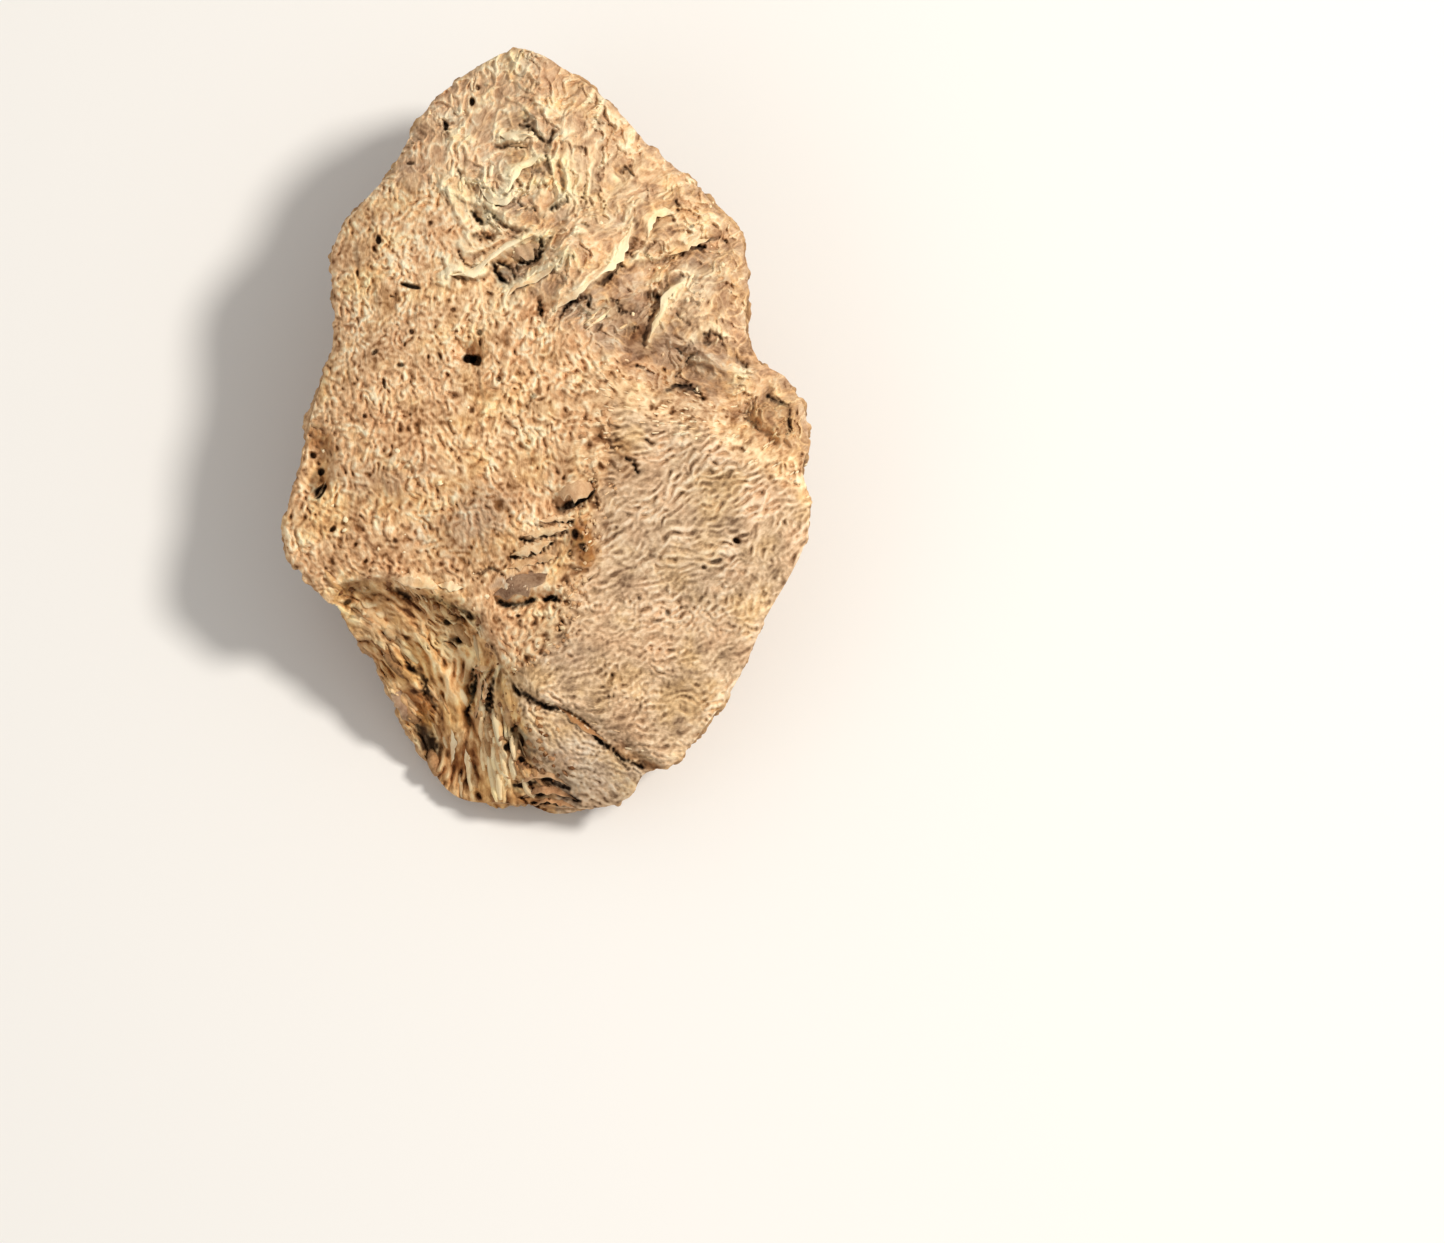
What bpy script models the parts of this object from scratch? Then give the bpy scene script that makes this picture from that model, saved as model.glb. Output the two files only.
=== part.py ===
# One dried slice of costus root: a thick, lopsided chunk that lies on its knife-cut face.
# Everything is worked out in millimetres on the broad upper face, whose own axes are
# u (to the right), v (towards the tip) and w (out of the face), and is turned into
# world metres at the end.

import math

import bmesh
import bpy
import numpy as np
from mathutils import Vector, noise

MM = 0.001

# Driving sizes. The face leans back a little from level when the slice lies on its cut.
FACE_LEAN = math.radians(15.0)
LENGTH = 76.8
CREST_HEIGHT = 27.4
CUT_DISH_DEPTH = 2.2
CUT_RIM_SHARE = 0.16
CRUST_STEP = 2.7
CRUST_EDGE_WIDTH = 0.9
SOLID_TRIANGLES = 9200
CUT_SNAP = 0.00003

# Outer edge of the slice seen square to the face, from the tip clockwise, for the full length.
OUTLINE = (
    (-2.9, 38.7), (1.3, 36.1), (6.0, 32.7), (9.7, 28.6), (15.4, 24.4), (17.6, 21.2),
    (19.2, 19.4), (19.9, 13.8), (20.1, 9.6), (21.4, 6.7), (24.4, 4.9), (26.0, 2.2),
    (26.2, -0.8), (25.5, -4.0), (26.3, -8.2), (26.1, -10.4), (24.3, -13.9), (21.2, -19.2),
    (19.1, -24.4), (16.5, -28.6), (12.6, -33.1), (10.6, -34.1), (9.4, -34.6), (8.1, -36.9),
    (5.5, -38.1), (1.3, -38.1), (-4.5, -37.7), (-8.3, -37.2), (-12.3, -33.5), (-14.6, -30.7),
    (-16.1, -27.4), (-17.4, -23.2), (-19.7, -21.0), (-21.4, -18.0), (-23.8, -15.5),
    (-26.1, -12.6), (-26.4, -11.0), (-25.9, -7.1), (-24.9, -3.5), (-24.4, 1.3), (-23.2, 5.2),
    (-22.0, 7.8), (-21.7, 11.7), (-22.0, 17.8), (-20.2, 21.7), (-16.5, 25.9), (-13.8, 30.1),
    (-11.8, 33.2), (-8.1, 36.4), (-5.0, 38.1),
)

# How far the rounded edge falls below the face, and how far the bark draws in beneath it
# down to the cut, by compass direction on the face (0 is right, 90 is the tip).
EDGE_FALL = {-170: 2.4, -140: 2.2, -110: 2.4, -85: 2.6, -60: 1.3, -20: 1.2, 0: 2.0, 25: 2.6,
             50: 3.0, 92: 3.2, 125: 4.6, 160: 4.2}
BARK_TUCK = {-170: 5.5, -140: 3.0, -110: 1.6, -85: 1.8, -60: 3.6, -20: 6.5, 20: 8.0, 55: 9.5,
             92: 10.5, 125: 9.5, 160: 7.5}

# The four broken planes of the upper face: a point on each, the height there, and its slopes.
PLANES = {
    "bark_shoulder": {"at": (5.0, 3.0), "height": 1.0, "slope": (-0.349, -0.393)},
    "left_cheek": {"at": (-1.0, 4.0), "height": 0.0, "slope": (0.300, -0.330)},
    "broad_front": {"at": (-1.0, 4.0), "height": 0.0, "slope": (0.200, 0.100)},
    "sawn_facet": {"at": (-1.0, 4.0), "height": 0.7, "slope": (-0.060, 0.160)},
}
PLANE_BLEND = 1.6

# Left border of the sawn facet, as u at each v, and the border between fibres and smooth toe.
FACET_BORDER = ((-27.0, -7.0), (-24.0, -3.0), (-21.0, 1.0), (-13.0, 4.0), (-7.0, 5.0), (3.0, 6.4))
TOE_BORDER = ((-38.0, 0.5), (-33.0, -1.2), (-28.0, -3.2), (-23.0, -5.2))

# Lower edge of the crust, where it has broken off the fibres, as v at each u.
CRUST_EDGE = (
    (-27.0, -16.6), (-21.6, -17.4), (-20.6, -15.4), (-16.3, -14.7), (-11.8, -16.2), (-7.0, -18.2),
    (-5.8, -21.6), (-4.8, -24.0), (-2.0, -26.6), (3.3, -28.9), (6.4, -30.8), (9.4, -32.5),
    (14.0, -36.4),
)

# Raised and sunken places: centre, half-lengths, turn in degrees, and height in millimetres.
LUMPS = {
    "knot": ((-3.4, 24.6), (5.6, 4.4), -15, 1.5),
    "knot_eye": ((-2.4, 25.6), (1.5, 1.2), 20, -0.8),
    "knot_brow": ((-1.6, 30.0), (4.2, 1.2), 5, 0.7),
    "knot_pocket": ((-2.8, 16.6), (3.0, 1.5), 25, -1.9),
    "knot_pocket_low": ((-4.6, 14.6), (1.6, 1.3), 60, -1.0),
    "fold_upper": ((4.0, 19.0), (8.0, 1.6), 24, 1.2),
    "fold_middle": ((5.5, 15.6), (6.5, 1.1), 28, 0.9),
    "right_lobe": ((14.6, 12.4), (5.6, 3.6), 38, 1.9),
    "lobe_pit": ((10.4, 13.2), (1.3, 0.9), 20, -1.4),
    "hollow": ((12.0, 6.2), (7.6, 2.3), -22, -1.9),
    "hollow_rib": ((16.4, 6.6), (4.6, 0.9), -32, 0.9),
    "corner_lobe": ((22.8, 1.4), (3.4, 3.0), -50, 1.1),
    "corner_crease": ((20.6, -0.6), (5.2, 0.9), -30, -1.2),
    "ridge_crest": ((14.0, -0.8), (9.0, 1.5), -27, 0.6),
    "cheek_swell": ((-14.5, 16.0), (5.0, 9.0), 10, 1.0),
    "front_swell": ((-12.0, -5.0), (8.0, 6.0), 20, 0.9),
    "front_dip": ((-2.5, -3.5), (5.0, 3.0), -30, -0.7),
    "flake_upper": ((2.3, -5.6), (2.2, 1.1), 18, 1.0),
    "flake_lower": ((-2.4, -15.9), (2.9, 1.0), 8, 1.2),
    "rot_pocket": ((4.2, -10.6), (1.0, 2.4), -10, -1.5),
    "left_rot": ((-23.2, -2.4), (1.4, 2.6), 5, -1.3),
    "left_pit": ((-23.0, -5.6), (0.8, 1.1), -35, -1.6),
    "toe_swell": ((3.0, -33.2), (5.0, 2.6), -22, 0.9),
    "fibre_hollow": ((-10.5, -31.0), (2.0, 4.5), 30, -1.4),
    "fibre_rib": ((-13.0, -24.0), (1.6, 6.0), 42, 0.8),
}

# Cracks: depth and half-width in millimetres, and the line each follows on the face.
CRACKS = {
    "bark_fold": (1.6, 0.75, (
        (-1.0, 11.6), (1.6, 11.9), (3.6, 13.2), (8.2, 16.1), (13.2, 17.6), (18.4, 19.3))),
    "lobe_groove": (1.1, 0.7, ((8.6, 8.4), (9.0, 10.4), (9.9, 13.2), (11.6, 16.4))),
    "ridge_groove": (1.1, 0.8, ((8.4, 6.6), (11.4, 5.2), (15.6, 3.8), (20.0, 1.2), (22.4, -0.9))),
    "knot_lid": (0.9, 0.55, ((-5.6, 28.0), (-3.4, 28.3), (-1.6, 28.2))),
    "knot_side": (0.7, 0.6, ((-0.9, 29.4), (-0.2, 27.0), (0.6, 24.6), (-0.4, 22.4))),
    "knot_fold": (0.8, 0.6, ((-7.3, 22.1), (-5.6, 20.0), (-2.4, 20.4), (0.6, 21.2))),
    "flake_upper_gap": (2.0, 0.6, ((0.9, -7.4), (2.6, -7.1), (4.2, -5.9))),
    "flake_lower_gap": (2.0, 0.6, ((-5.2, -16.7), (-3.4, -17.4), (-1.2, -17.3), (0.2, -16.7))),
    "toe_split": (1.7, 0.55, (
        (-5.8, -21.6), (-4.8, -24.0), (-2.0, -26.6), (3.3, -28.9), (6.4, -30.8), (10.6, -33.6))),
    "fibre_split": (2.0, 0.6, ((-7.7, -23.4), (-7.8, -26.0), (-8.0, -29.8))),
    "beetle_hole": (2.6, 0.75, ((-8.2, 7.4), (-7.3, 7.4))),
}

# Folds, ribs and furrows: spacing across them, length along them, and height.
BARK_FOLD = {"spacing": 3.5, "run": 10.0, "height": 0.75, "turn": 33}
KNOT_SWIRL = {"centre": (-3.4, 24.6), "reach": 8.5, "lift": 9.0}
FIBRE = {"spacing": 1.7, "run": 12.0, "height": 0.55, "turn": -52}
WALL_FURROW = {"spacing": 4.2, "run": 16.0, "height": 0.7}
LUMPINESS = {"scale": 7.5, "height": 0.45}


def smooth_step(x, low, high):
    t = np.clip((x - low) / (high - low), 0.0, 1.0)
    return t * t * (3.0 - 2.0 * t)


def smooth_min(a, b, blend):
    h = np.clip(0.5 + 0.5 * (b - a) / blend, 0.0, 1.0)
    return b + (a - b) * h - blend * h * (1.0 - h)


def by_compass(table, angle):
    """A value given at some compass directions, read at every angle in radians."""
    degrees = sorted(table)
    return np.interp(np.degrees(angle), degrees, [table[d] for d in degrees], period=360.0)


def noise_at(x, y, z):
    return np.array([noise.noise(Vector(p)) for p in zip(x, y, z)])


def turned(u, v, degrees):
    """Coordinates along and across a direction that is turned from u."""
    c, s = math.cos(math.radians(degrees)), math.sin(math.radians(degrees))
    return u * c + v * s, v * c - u * s


def outline_radius(angle):
    """The outline's distance from the middle of the face at every angle."""
    points = np.array(OUTLINE)
    scale = LENGTH / np.ptp(points[:, 1])
    known = np.arctan2(points[:, 1], points[:, 0])
    order = np.argsort(known)
    known = known[order]
    radius = np.hypot(*points[order].T) * scale
    return np.interp(angle, known, radius, period=2.0 * math.pi)


def distance_to_line(u, v, line):
    best = np.full(u.shape, 1e9)
    for (u0, v0), (u1, v1) in zip(line, line[1:]):
        du, dv = u1 - u0, v1 - v0
        share = np.clip(((u - u0) * du + (v - v0) * dv) / (du * du + dv * dv), 0.0, 1.0)
        best = np.minimum(best, np.hypot(u - u0 - share * du, v - v0 - share * dv))
    return best


def read_line(line, x):
    """The second coordinate of a line at each first coordinate."""
    known = np.array(line)
    return np.interp(x, known[:, 0], known[:, 1])


def plane_height(name, u, v):
    plane = PLANES[name]
    return (plane["height"] + plane["slope"][0] * (u - plane["at"][0])
            + plane["slope"][1] * (v - plane["at"][1]))


def crust_height(u, v):
    """The crust: three blended planes, and the sawn facet let in a little below them."""
    height = smooth_min(
        plane_height("left_cheek", u, v), plane_height("broad_front", u, v), PLANE_BLEND * 3.0)
    height = smooth_min(height, plane_height("bark_shoulder", u, v), PLANE_BLEND)
    facet = smooth_min(height, plane_height("sawn_facet", u, v), PLANE_BLEND * 0.5)
    inside = smooth_step(u - read_line(FACET_BORDER, v), -0.8, 0.8)
    return height + (facet - height) * inside


def broken_height(u, v):
    """Below the crust's edge: a fibrous break on the left and a smooth rounded toe on the right."""
    edge_v = read_line(CRUST_EDGE, u)
    below = np.clip(edge_v - v, 0.0, None)
    toe = smooth_step(u - read_line(TOE_BORDER, v), -1.0, 1.0)
    crust = crust_height(u, edge_v)
    fibres = crust - CRUST_STEP - 0.47 * below
    smooth_toe = crust - 0.45 * CRUST_STEP - 0.30 * below - 0.045 * below ** 2
    return fibres + (smooth_toe - fibres) * toe


def face_height(u, v):
    """Height of the whole upper side over the face, without its fine relief."""
    edge_v = read_line(CRUST_EDGE, u)
    on_crust = smooth_step(v - edge_v, -CRUST_EDGE_WIDTH, 0.0)
    height = broken_height(u, v)
    height = height + (crust_height(u, v) - height) * on_crust
    for (cu, cv), (ru, rv), turn, lift in LUMPS.values():
        along, across = turned(u - cu, v - cv, turn)
        height = height + lift * np.exp(-(along / ru) ** 2 - (across / rv) ** 2)
    for depth, half_width, line in CRACKS.values():
        height = height - depth * np.exp(-(distance_to_line(u, v, line) / half_width) ** 2)
    return height


def bark_folds(u, v):
    """Wavy folds of the bark, which run diagonally and bend round the knot."""
    (ku, kv), reach = KNOT_SWIRL["centre"], KNOT_SWIRL["reach"]
    along, across = turned(u, v, BARK_FOLD["turn"])
    near_knot = np.exp(-((u - ku) ** 2 + (v - kv) ** 2) / reach ** 2)
    across = across + KNOT_SWIRL["lift"] * near_knot
    wave = noise_at(along / BARK_FOLD["run"], across / BARK_FOLD["spacing"], u * 0)
    past_crest = plane_height("left_cheek", u, v) - plane_height("bark_shoulder", u, v)
    on_shoulder = smooth_step(past_crest, -4.0, 0.0) * smooth_step(v + 0.45 * u, 4.0, 9.0)
    return BARK_FOLD["height"] * (1.0 - 4.4 * np.abs(wave)) * on_shoulder


def fibre_ribs(u, v):
    """Coarse ribs of the torn fibres below the crust's edge."""
    below = smooth_step(read_line(CRUST_EDGE, u) - v, 0.0, 1.5)
    on_fibres = below * (1.0 - smooth_step(u - read_line(TOE_BORDER, v), -1.0, 1.0))
    along, across = turned(u, v, FIBRE["turn"])
    wave = noise_at(along / FIBRE["run"], across / FIBRE["spacing"], u * 0 + 3.0)
    return FIBRE["height"] * 1.8 * wave * on_fibres


def to_world(u, v, w, lift):
    """Face millimetres to world millimetres, with the cut at height 0 once lift is added."""
    y = v * math.cos(FACE_LEAN) - w * math.sin(FACE_LEAN)
    z = v * math.sin(FACE_LEAN) + w * math.cos(FACE_LEAN) + lift
    return np.stack([u, y, z], axis=-1)


def cut_plane(v, lift):
    """The w at which the knife cut lies under each v."""
    return -(lift + v * math.sin(FACE_LEAN)) / math.cos(FACE_LEAN)


def upper_side(angle, tilt):
    """Upper half: out from the middle of the face to the rounded edge."""
    share = np.sin(tilt)
    radius = share * outline_radius(angle)
    u, v = radius * np.cos(angle), radius * np.sin(angle)
    rounding = 1.0 - (1.0 - np.clip(share, 0.0, 1.0) ** 7) ** (1.0 / 7.0)
    w = face_height(u, v) + bark_folds(u, v) + fibre_ribs(u, v)
    w = w - by_compass(EDGE_FALL, angle) * rounding
    return u, v, w


def lower_side(angle, tilt, lift):
    """Lower half: bark that tucks in under the edge, then the flat cut."""
    wall_share = 0.5
    share = np.clip(tilt / (math.pi / 2.0), 0.0, 1.0)
    edge = outline_radius(angle)
    edge_u, edge_v = edge * np.cos(angle), edge * np.sin(angle)
    edge_w = face_height(edge_u, edge_v) - by_compass(EDGE_FALL, angle)
    down = np.clip(share / wall_share, 0.0, 1.0)
    swing = math.radians(66.0)
    tuck = by_compass(BARK_TUCK, angle)
    radius = edge - tuck * (1.0 - np.cos(down * swing)) / (1.0 - math.cos(swing))
    inward = np.clip((share - wall_share) / (1.0 - wall_share), 0.0, 1.0)
    spacing = WALL_FURROW["spacing"]
    furrow = noise_at(edge_u / spacing, edge_v / spacing, down * CREST_HEIGHT / WALL_FURROW["run"])
    radius = radius + WALL_FURROW["height"] * 2.0 * furrow * np.sin(math.pi * down)
    radius = radius * (1.0 - inward)
    u, v = radius * np.cos(angle), radius * np.sin(angle)
    depth = np.sin(down * swing) / math.sin(swing)
    w = edge_w + (cut_plane(v, lift) - edge_w) * depth
    dish = CUT_DISH_DEPTH * smooth_step(inward, CUT_RIM_SHARE, 0.75)
    return u, v, w + dish, down < 1.0


def shape_points(directions):
    """Moves each point of a unit ball to its place on the slice, in world millimetres."""
    angle = np.arctan2(directions[:, 1], directions[:, 0])
    tilt = np.arccos(np.clip(directions[:, 2], -1.0, 1.0))
    up = tilt <= math.pi / 2.0
    lift = CREST_HEIGHT
    points = np.zeros_like(directions)
    u, v, w = upper_side(angle[up], tilt[up])
    points[up] = to_world(u, v, w, lift)
    u, v, w, is_bark = lower_side(angle[~up], tilt[~up] - math.pi / 2.0, lift)
    points[~up] = to_world(u, v, w, lift)
    on_cut = np.zeros(len(points), bool)
    on_cut[~up] = ~is_bark
    return points, on_cut


def add_lumpiness(points, on_cut):
    """Slow swells over the bark and the broken face. The cut stays flat."""
    scale = LUMPINESS["scale"]
    x, y, z = (points / scale).T
    swell = np.stack([noise_at(x, y, z + shift) for shift in (0.0, 31.0, 57.0)], axis=-1)
    keep = smooth_step(points[:, 2], 0.3, 4.0) * ~on_cut
    return points + LUMPINESS["height"] * 1.6 * swell * keep[:, None]


def build_slice():
    """A fine ball shaped into the slice, then thinned to an even, light solid."""
    mesh = bpy.data.meshes.new("root_slice")
    bm = bmesh.new()
    bmesh.ops.create_icosphere(bm, subdivisions=7, radius=1.0)
    directions = np.array([vertex.co for vertex in bm.verts])
    points, on_cut = shape_points(directions)
    points = add_lumpiness(points, on_cut)
    points[:, 2] = np.clip(points[:, 2], 0.0, None)
    low, high = points.min(axis=0), points.max(axis=0)
    points[:, :2] -= (low[:2] + high[:2]) / 2.0
    for vertex, place in zip(bm.verts, points * MM):
        vertex.co = place
    bmesh.ops.recalc_face_normals(bm, faces=bm.faces)
    dense = len(bm.faces)
    bm.to_mesh(mesh)
    bm.free()
    obj = bpy.data.objects.new("root_slice", mesh)
    bpy.context.scene.collection.objects.link(obj)
    thin = obj.modifiers.new("Thin", "DECIMATE")
    thin.ratio = SOLID_TRIANGLES / dense
    depsgraph = bpy.context.evaluated_depsgraph_get()
    light = bpy.data.meshes.new_from_object(obj.evaluated_get(depsgraph))
    for vertex in light.vertices:
        if abs(vertex.co.z) < CUT_SNAP:
            vertex.co.z = 0.0
    obj.modifiers.remove(thin)
    obj.data = light
    bpy.context.scene.collection.objects.unlink(obj)
    return obj


def root_material():
    material = bpy.data.materials.new("dried_root")
    material.use_nodes = True
    shader = material.node_tree.nodes["Principled BSDF"]
    shader.inputs["Base Color"].default_value = (0.56, 0.39, 0.23, 1.0)
    shader.inputs["Roughness"].default_value = 0.85
    shader.inputs["Metallic"].default_value = 0.0
    return material


def main():
    for old in list(bpy.data.objects):
        bpy.data.objects.remove(old)
    collection = bpy.data.collections.new("costus_root")
    bpy.context.scene.collection.children.link(collection)
    root_slice = build_slice()
    root_slice.data.materials.append(root_material())
    collection.objects.link(root_slice)


main()
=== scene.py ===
import math

import bmesh
import bpy
import numpy as np
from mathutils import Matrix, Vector
from mathutils.bvhtree import BVHTree


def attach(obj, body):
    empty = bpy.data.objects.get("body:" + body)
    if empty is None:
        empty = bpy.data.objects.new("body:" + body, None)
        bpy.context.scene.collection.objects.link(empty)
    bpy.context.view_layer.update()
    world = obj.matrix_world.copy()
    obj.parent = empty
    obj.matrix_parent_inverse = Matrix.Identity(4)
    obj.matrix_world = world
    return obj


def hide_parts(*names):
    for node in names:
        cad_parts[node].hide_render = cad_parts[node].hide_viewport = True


# A dried slice of costus root. Sizes are in millimetres, apart from the lights, and most places are on
# the broad upper face, whose own axes are u (right), v (towards the tip) and w (out of the face).

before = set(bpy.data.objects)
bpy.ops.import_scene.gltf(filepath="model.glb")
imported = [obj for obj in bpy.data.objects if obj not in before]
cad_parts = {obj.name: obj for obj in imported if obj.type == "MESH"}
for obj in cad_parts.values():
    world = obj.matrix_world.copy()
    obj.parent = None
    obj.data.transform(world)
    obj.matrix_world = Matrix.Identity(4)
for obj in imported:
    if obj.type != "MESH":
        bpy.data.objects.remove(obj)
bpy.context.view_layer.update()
mm = 0.001
rng = np.random.default_rng(41)

face = {"lean": math.radians(15.0), "origin": (0.12, -4.62, 27.4)}
print("frame loaded")


def toFace(points):
    c, s = math.cos(face["lean"]), math.sin(face["lean"])
    x, y, z = (points / mm - np.array(face["origin"])).T
    return x, y * c + z * s, z * c - y * s


def toWorld(u, v, w):
    c, s = math.cos(face["lean"]), math.sin(face["lean"])
    return (np.stack([u, v * c - w * s, v * s + w * c], axis=-1) + np.array(face["origin"])) * mm


outward = np.array([0.0, -math.sin(face["lean"]), math.cos(face["lean"])])


def smoothStep(x, low, high):
    t = np.clip((x - low) / (high - low), 0.0, 1.0)
    return t * t * (3.0 - 2.0 * t)


def lineDistance(u, v, line):
    best = np.full(np.shape(u), 1e9)
    for (u0, v0), (u1, v1) in zip(line, line[1:]):
        du, dv = u1 - u0, v1 - v0
        share = np.clip(((u - u0) * du + (v - v0) * dv) / (du * du + dv * dv), 0.0, 1.0)
        best = np.minimum(best, np.hypot(u - u0 - share * du, v - v0 - share * dv))
    return best


def onLine(line, x):
    known = np.array(line)
    return np.interp(x, known[:, 0], known[:, 1])


def spot(u, v, place):
    # a soft oval: centre, half-lengths and turn in degrees
    cu, cv, ru, rv, turn = place
    c, s = math.cos(math.radians(turn)), math.sin(math.radians(turn))
    along, across = (u - cu) * c + (v - cv) * s, (v - cv) * c - (u - cu) * s
    return np.exp(-(along / ru) ** 2 - (across / rv) ** 2)


# The relief map: one fine grid over the face.

reliefGrid = {"cell": 0.08, "halfU": 29.0, "halfV": 42.0}
uLine = np.arange(-reliefGrid["halfU"], reliefGrid["halfU"], reliefGrid["cell"])
vLine = np.arange(-reliefGrid["halfV"], reliefGrid["halfV"], reliefGrid["cell"])
gridU, gridV = np.meshgrid(uLine, vLine)


def blurred(field, radius):
    fu = np.fft.fftfreq(field.shape[1], reliefGrid["cell"])
    fv = np.fft.fftfreq(field.shape[0], reliefGrid["cell"])
    squared = fu[None, :] ** 2 + fv[:, None] ** 2
    return np.real(np.fft.ifft2(np.fft.fft2(field) * np.exp(-2.0 * (math.pi * radius) ** 2 * squared)))


def evened(field, radius=4.0):
    # the same strength everywhere, with no slow drift
    field = field - blurred(field, radius)
    return field / np.sqrt(blurred(field ** 2, radius) + 1e-9)


def grainNoise(radius):
    return evened(blurred(rng.normal(size=gridU.shape), radius))


def read(field, u, v):
    # bilinear reading of the map at any place
    x = np.clip((u + reliefGrid["halfU"]) / reliefGrid["cell"], 0, field.shape[1] - 1.001)
    y = np.clip((v + reliefGrid["halfV"]) / reliefGrid["cell"], 0, field.shape[0] - 1.001)
    ix, iy = x.astype(int), y.astype(int)
    fx, fy = x - ix, y - iy
    low = field[iy, ix] * (1 - fx) + field[iy, ix + 1] * fx
    high = field[iy + 1, ix] * (1 - fx) + field[iy + 1, ix + 1] * fx
    return low * (1 - fy) + high * fy


# Direction of the grain, in degrees, at places on the face, each with its reach.
grain = {
    "cheekTop": (-9, 31, 104, 8), "cheek": (-17, 18, 98, 9), "cheekLow": (-19, 4, 100, 8),
    "frontLeft": (-19, -8, 118, 7), "front": (-8, -6, 110, 8), "frontTop": (-4, 6, 100, 7),
    "frontRight": (0, -14, 75, 4), "tip": (0, 34, 60, 6), "shoulderTop": (3, 25, 86, 5),
    "shoulder": (10, 24, 48, 6), "shoulderEdge": (14, 21, 30, 5), "fold": (5, 16, 32, 5),
    "lobe": (14, 12, 62, 5), "hollow": (14, 5, -24, 5), "ridge": (8, 2, -26, 6),
    "corner": (23, 0, 48, 4), "facetTop": (8, -3, 34, 5), "facet": (14, -8, 27, 9),
    "facetLow": (9, -21, 22, 8), "facetEdge": (22, -12, 42, 4), "strip": (4, -9, 70, 2),
    "toe": (4, -33, -24, 5),
    "fibreTop": (-19, -19, -34, 5), "fibre": (-13, -24, -52, 5), "fibreRight": (-7, -26, -84, 4),
    "fibreEnd": (-6, -34, -82, 5), "fibreFoot": (1, -37.5, -14, 2.5),
}
knot = {"centre": (-3.4, 24.8), "reach": 6.5}


def grainAngle():
    su, cu = np.zeros_like(gridU), np.zeros_like(gridU)
    for u, v, degrees, reach in grain.values():
        weight = np.exp(-((gridU - u) ** 2 + (gridV - v) ** 2) / reach ** 2) + 1e-6
        su += weight * math.sin(2.0 * math.radians(degrees))
        cu += weight * math.cos(2.0 * math.radians(degrees))
    du, dv = gridU - knot["centre"][0], gridV - knot["centre"][1]
    round2 = 2.0 * (np.arctan2(dv, du) + math.pi / 2.0)
    weight = 2.2 * np.exp(-((np.hypot(du, dv) - 3.5) / (knot["reach"] * 0.6)) ** 2)
    return 0.5 * np.arctan2(su + weight * np.sin(round2), cu + weight * np.cos(round2))


freqU = np.fft.rfftfreq(gridU.shape[1], reliefGrid["cell"])[None, :]
freqV = np.fft.fftfreq(gridU.shape[0], reliefGrid["cell"])[:, None]
freqSize = np.hypot(freqU, freqV) + 1e-9
freqCos, freqSin = (freqU ** 2 - freqV ** 2) / freqSize ** 2, 2.0 * freqU * freqV / freqSize ** 2


def ridged(angle, spacing, spread, turnSpread, count=12):
    # ripples about one spacing apart that run along the grain: noise is filtered in several
    # directions, and each place takes the direction nearest its own grain
    band = np.exp(-((freqSize * spacing - 1.0) / spread) ** 2 / 2.0)
    source = np.fft.rfft2(rng.normal(size=gridU.shape)) * band
    cos2, sin2 = np.cos(2.0 * angle), np.sin(2.0 * angle)
    total, weights = np.zeros_like(gridU), np.zeros_like(gridU)
    for n in range(count):
        c, s = math.cos(2.0 * math.pi * n / count), math.sin(2.0 * math.pi * n / count)
        narrow = np.exp((-freqCos * c - freqSin * s - 1.0) / (4.0 * math.radians(turnSpread) ** 2))
        weight = np.exp((cos2 * c + sin2 * s - 1.0) / (2.0 * (math.pi / count) ** 2))
        total, weights = total + weight * np.fft.irfft2(source * narrow, s=gridU.shape), weights + weight
    return evened(total / weights)


def warped(field, reach):
    # the same pattern, drawn with an unsteady hand
    return read(field, gridU + reach * wanderFine, gridV + reach * wanderCross)


baseAngle = grainAngle()
wander, wanderFine, wanderCross = grainNoise(1.1), grainNoise(0.45), grainNoise(0.45)
crepe = warped(ridged(baseAngle + 0.50 * wander + 0.3 * wanderFine, 0.95, 0.60, 50), 0.16)
crepeFine = ridged(baseAngle + 0.5 + 0.4 * wander, 0.55, 0.40, 60)
creases = ridged(baseAngle + 0.15 * wander, 1.7, 0.60, 11, 24)
foldGrain = warped(ridged(baseAngle + 0.30 * wander, 1.5, 0.40, 24), 0.2)
ripple = warped(ridged(baseAngle + 0.20 * wander + 0.12 * wanderFine, 0.82, 0.42, 22, 16), 0.13)
fibreGrain = warped(ridged(baseAngle + 0.28 * wander + 0.12 * wanderFine, 1.15, 0.45, 19, 20), 0.08)
fibreFine = ridged(baseAngle + 0.20 * wanderFine, 0.50, 0.40, 22, 20)
crossing = ridged(baseAngle + 1.4 + 0.5 * wander, 2.6, 0.50, 32)
pebble, lumps, blotches = grainNoise(0.13), grainNoise(0.26), grainNoise(0.38)
swell, mottle = grainNoise(1.4), grainNoise(0.9)
# crumpled bark: thin crests where a broad noise crosses nought, with wide valleys between
crumple = warped(ridged(baseAngle + 0.45 * wander + 0.2 * wanderFine, 3.0, 0.50, 34), 0.3)
crumpleFine = warped(ridged(baseAngle + 0.6 * wander, 1.6, 0.50, 42), 0.2)
crumpled = 1.5 * np.exp(-(crumple / 0.42) ** 2) + 0.8 * np.exp(-(crumpleFine / 0.32) ** 2) - 0.75
print("grain drawn")

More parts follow.
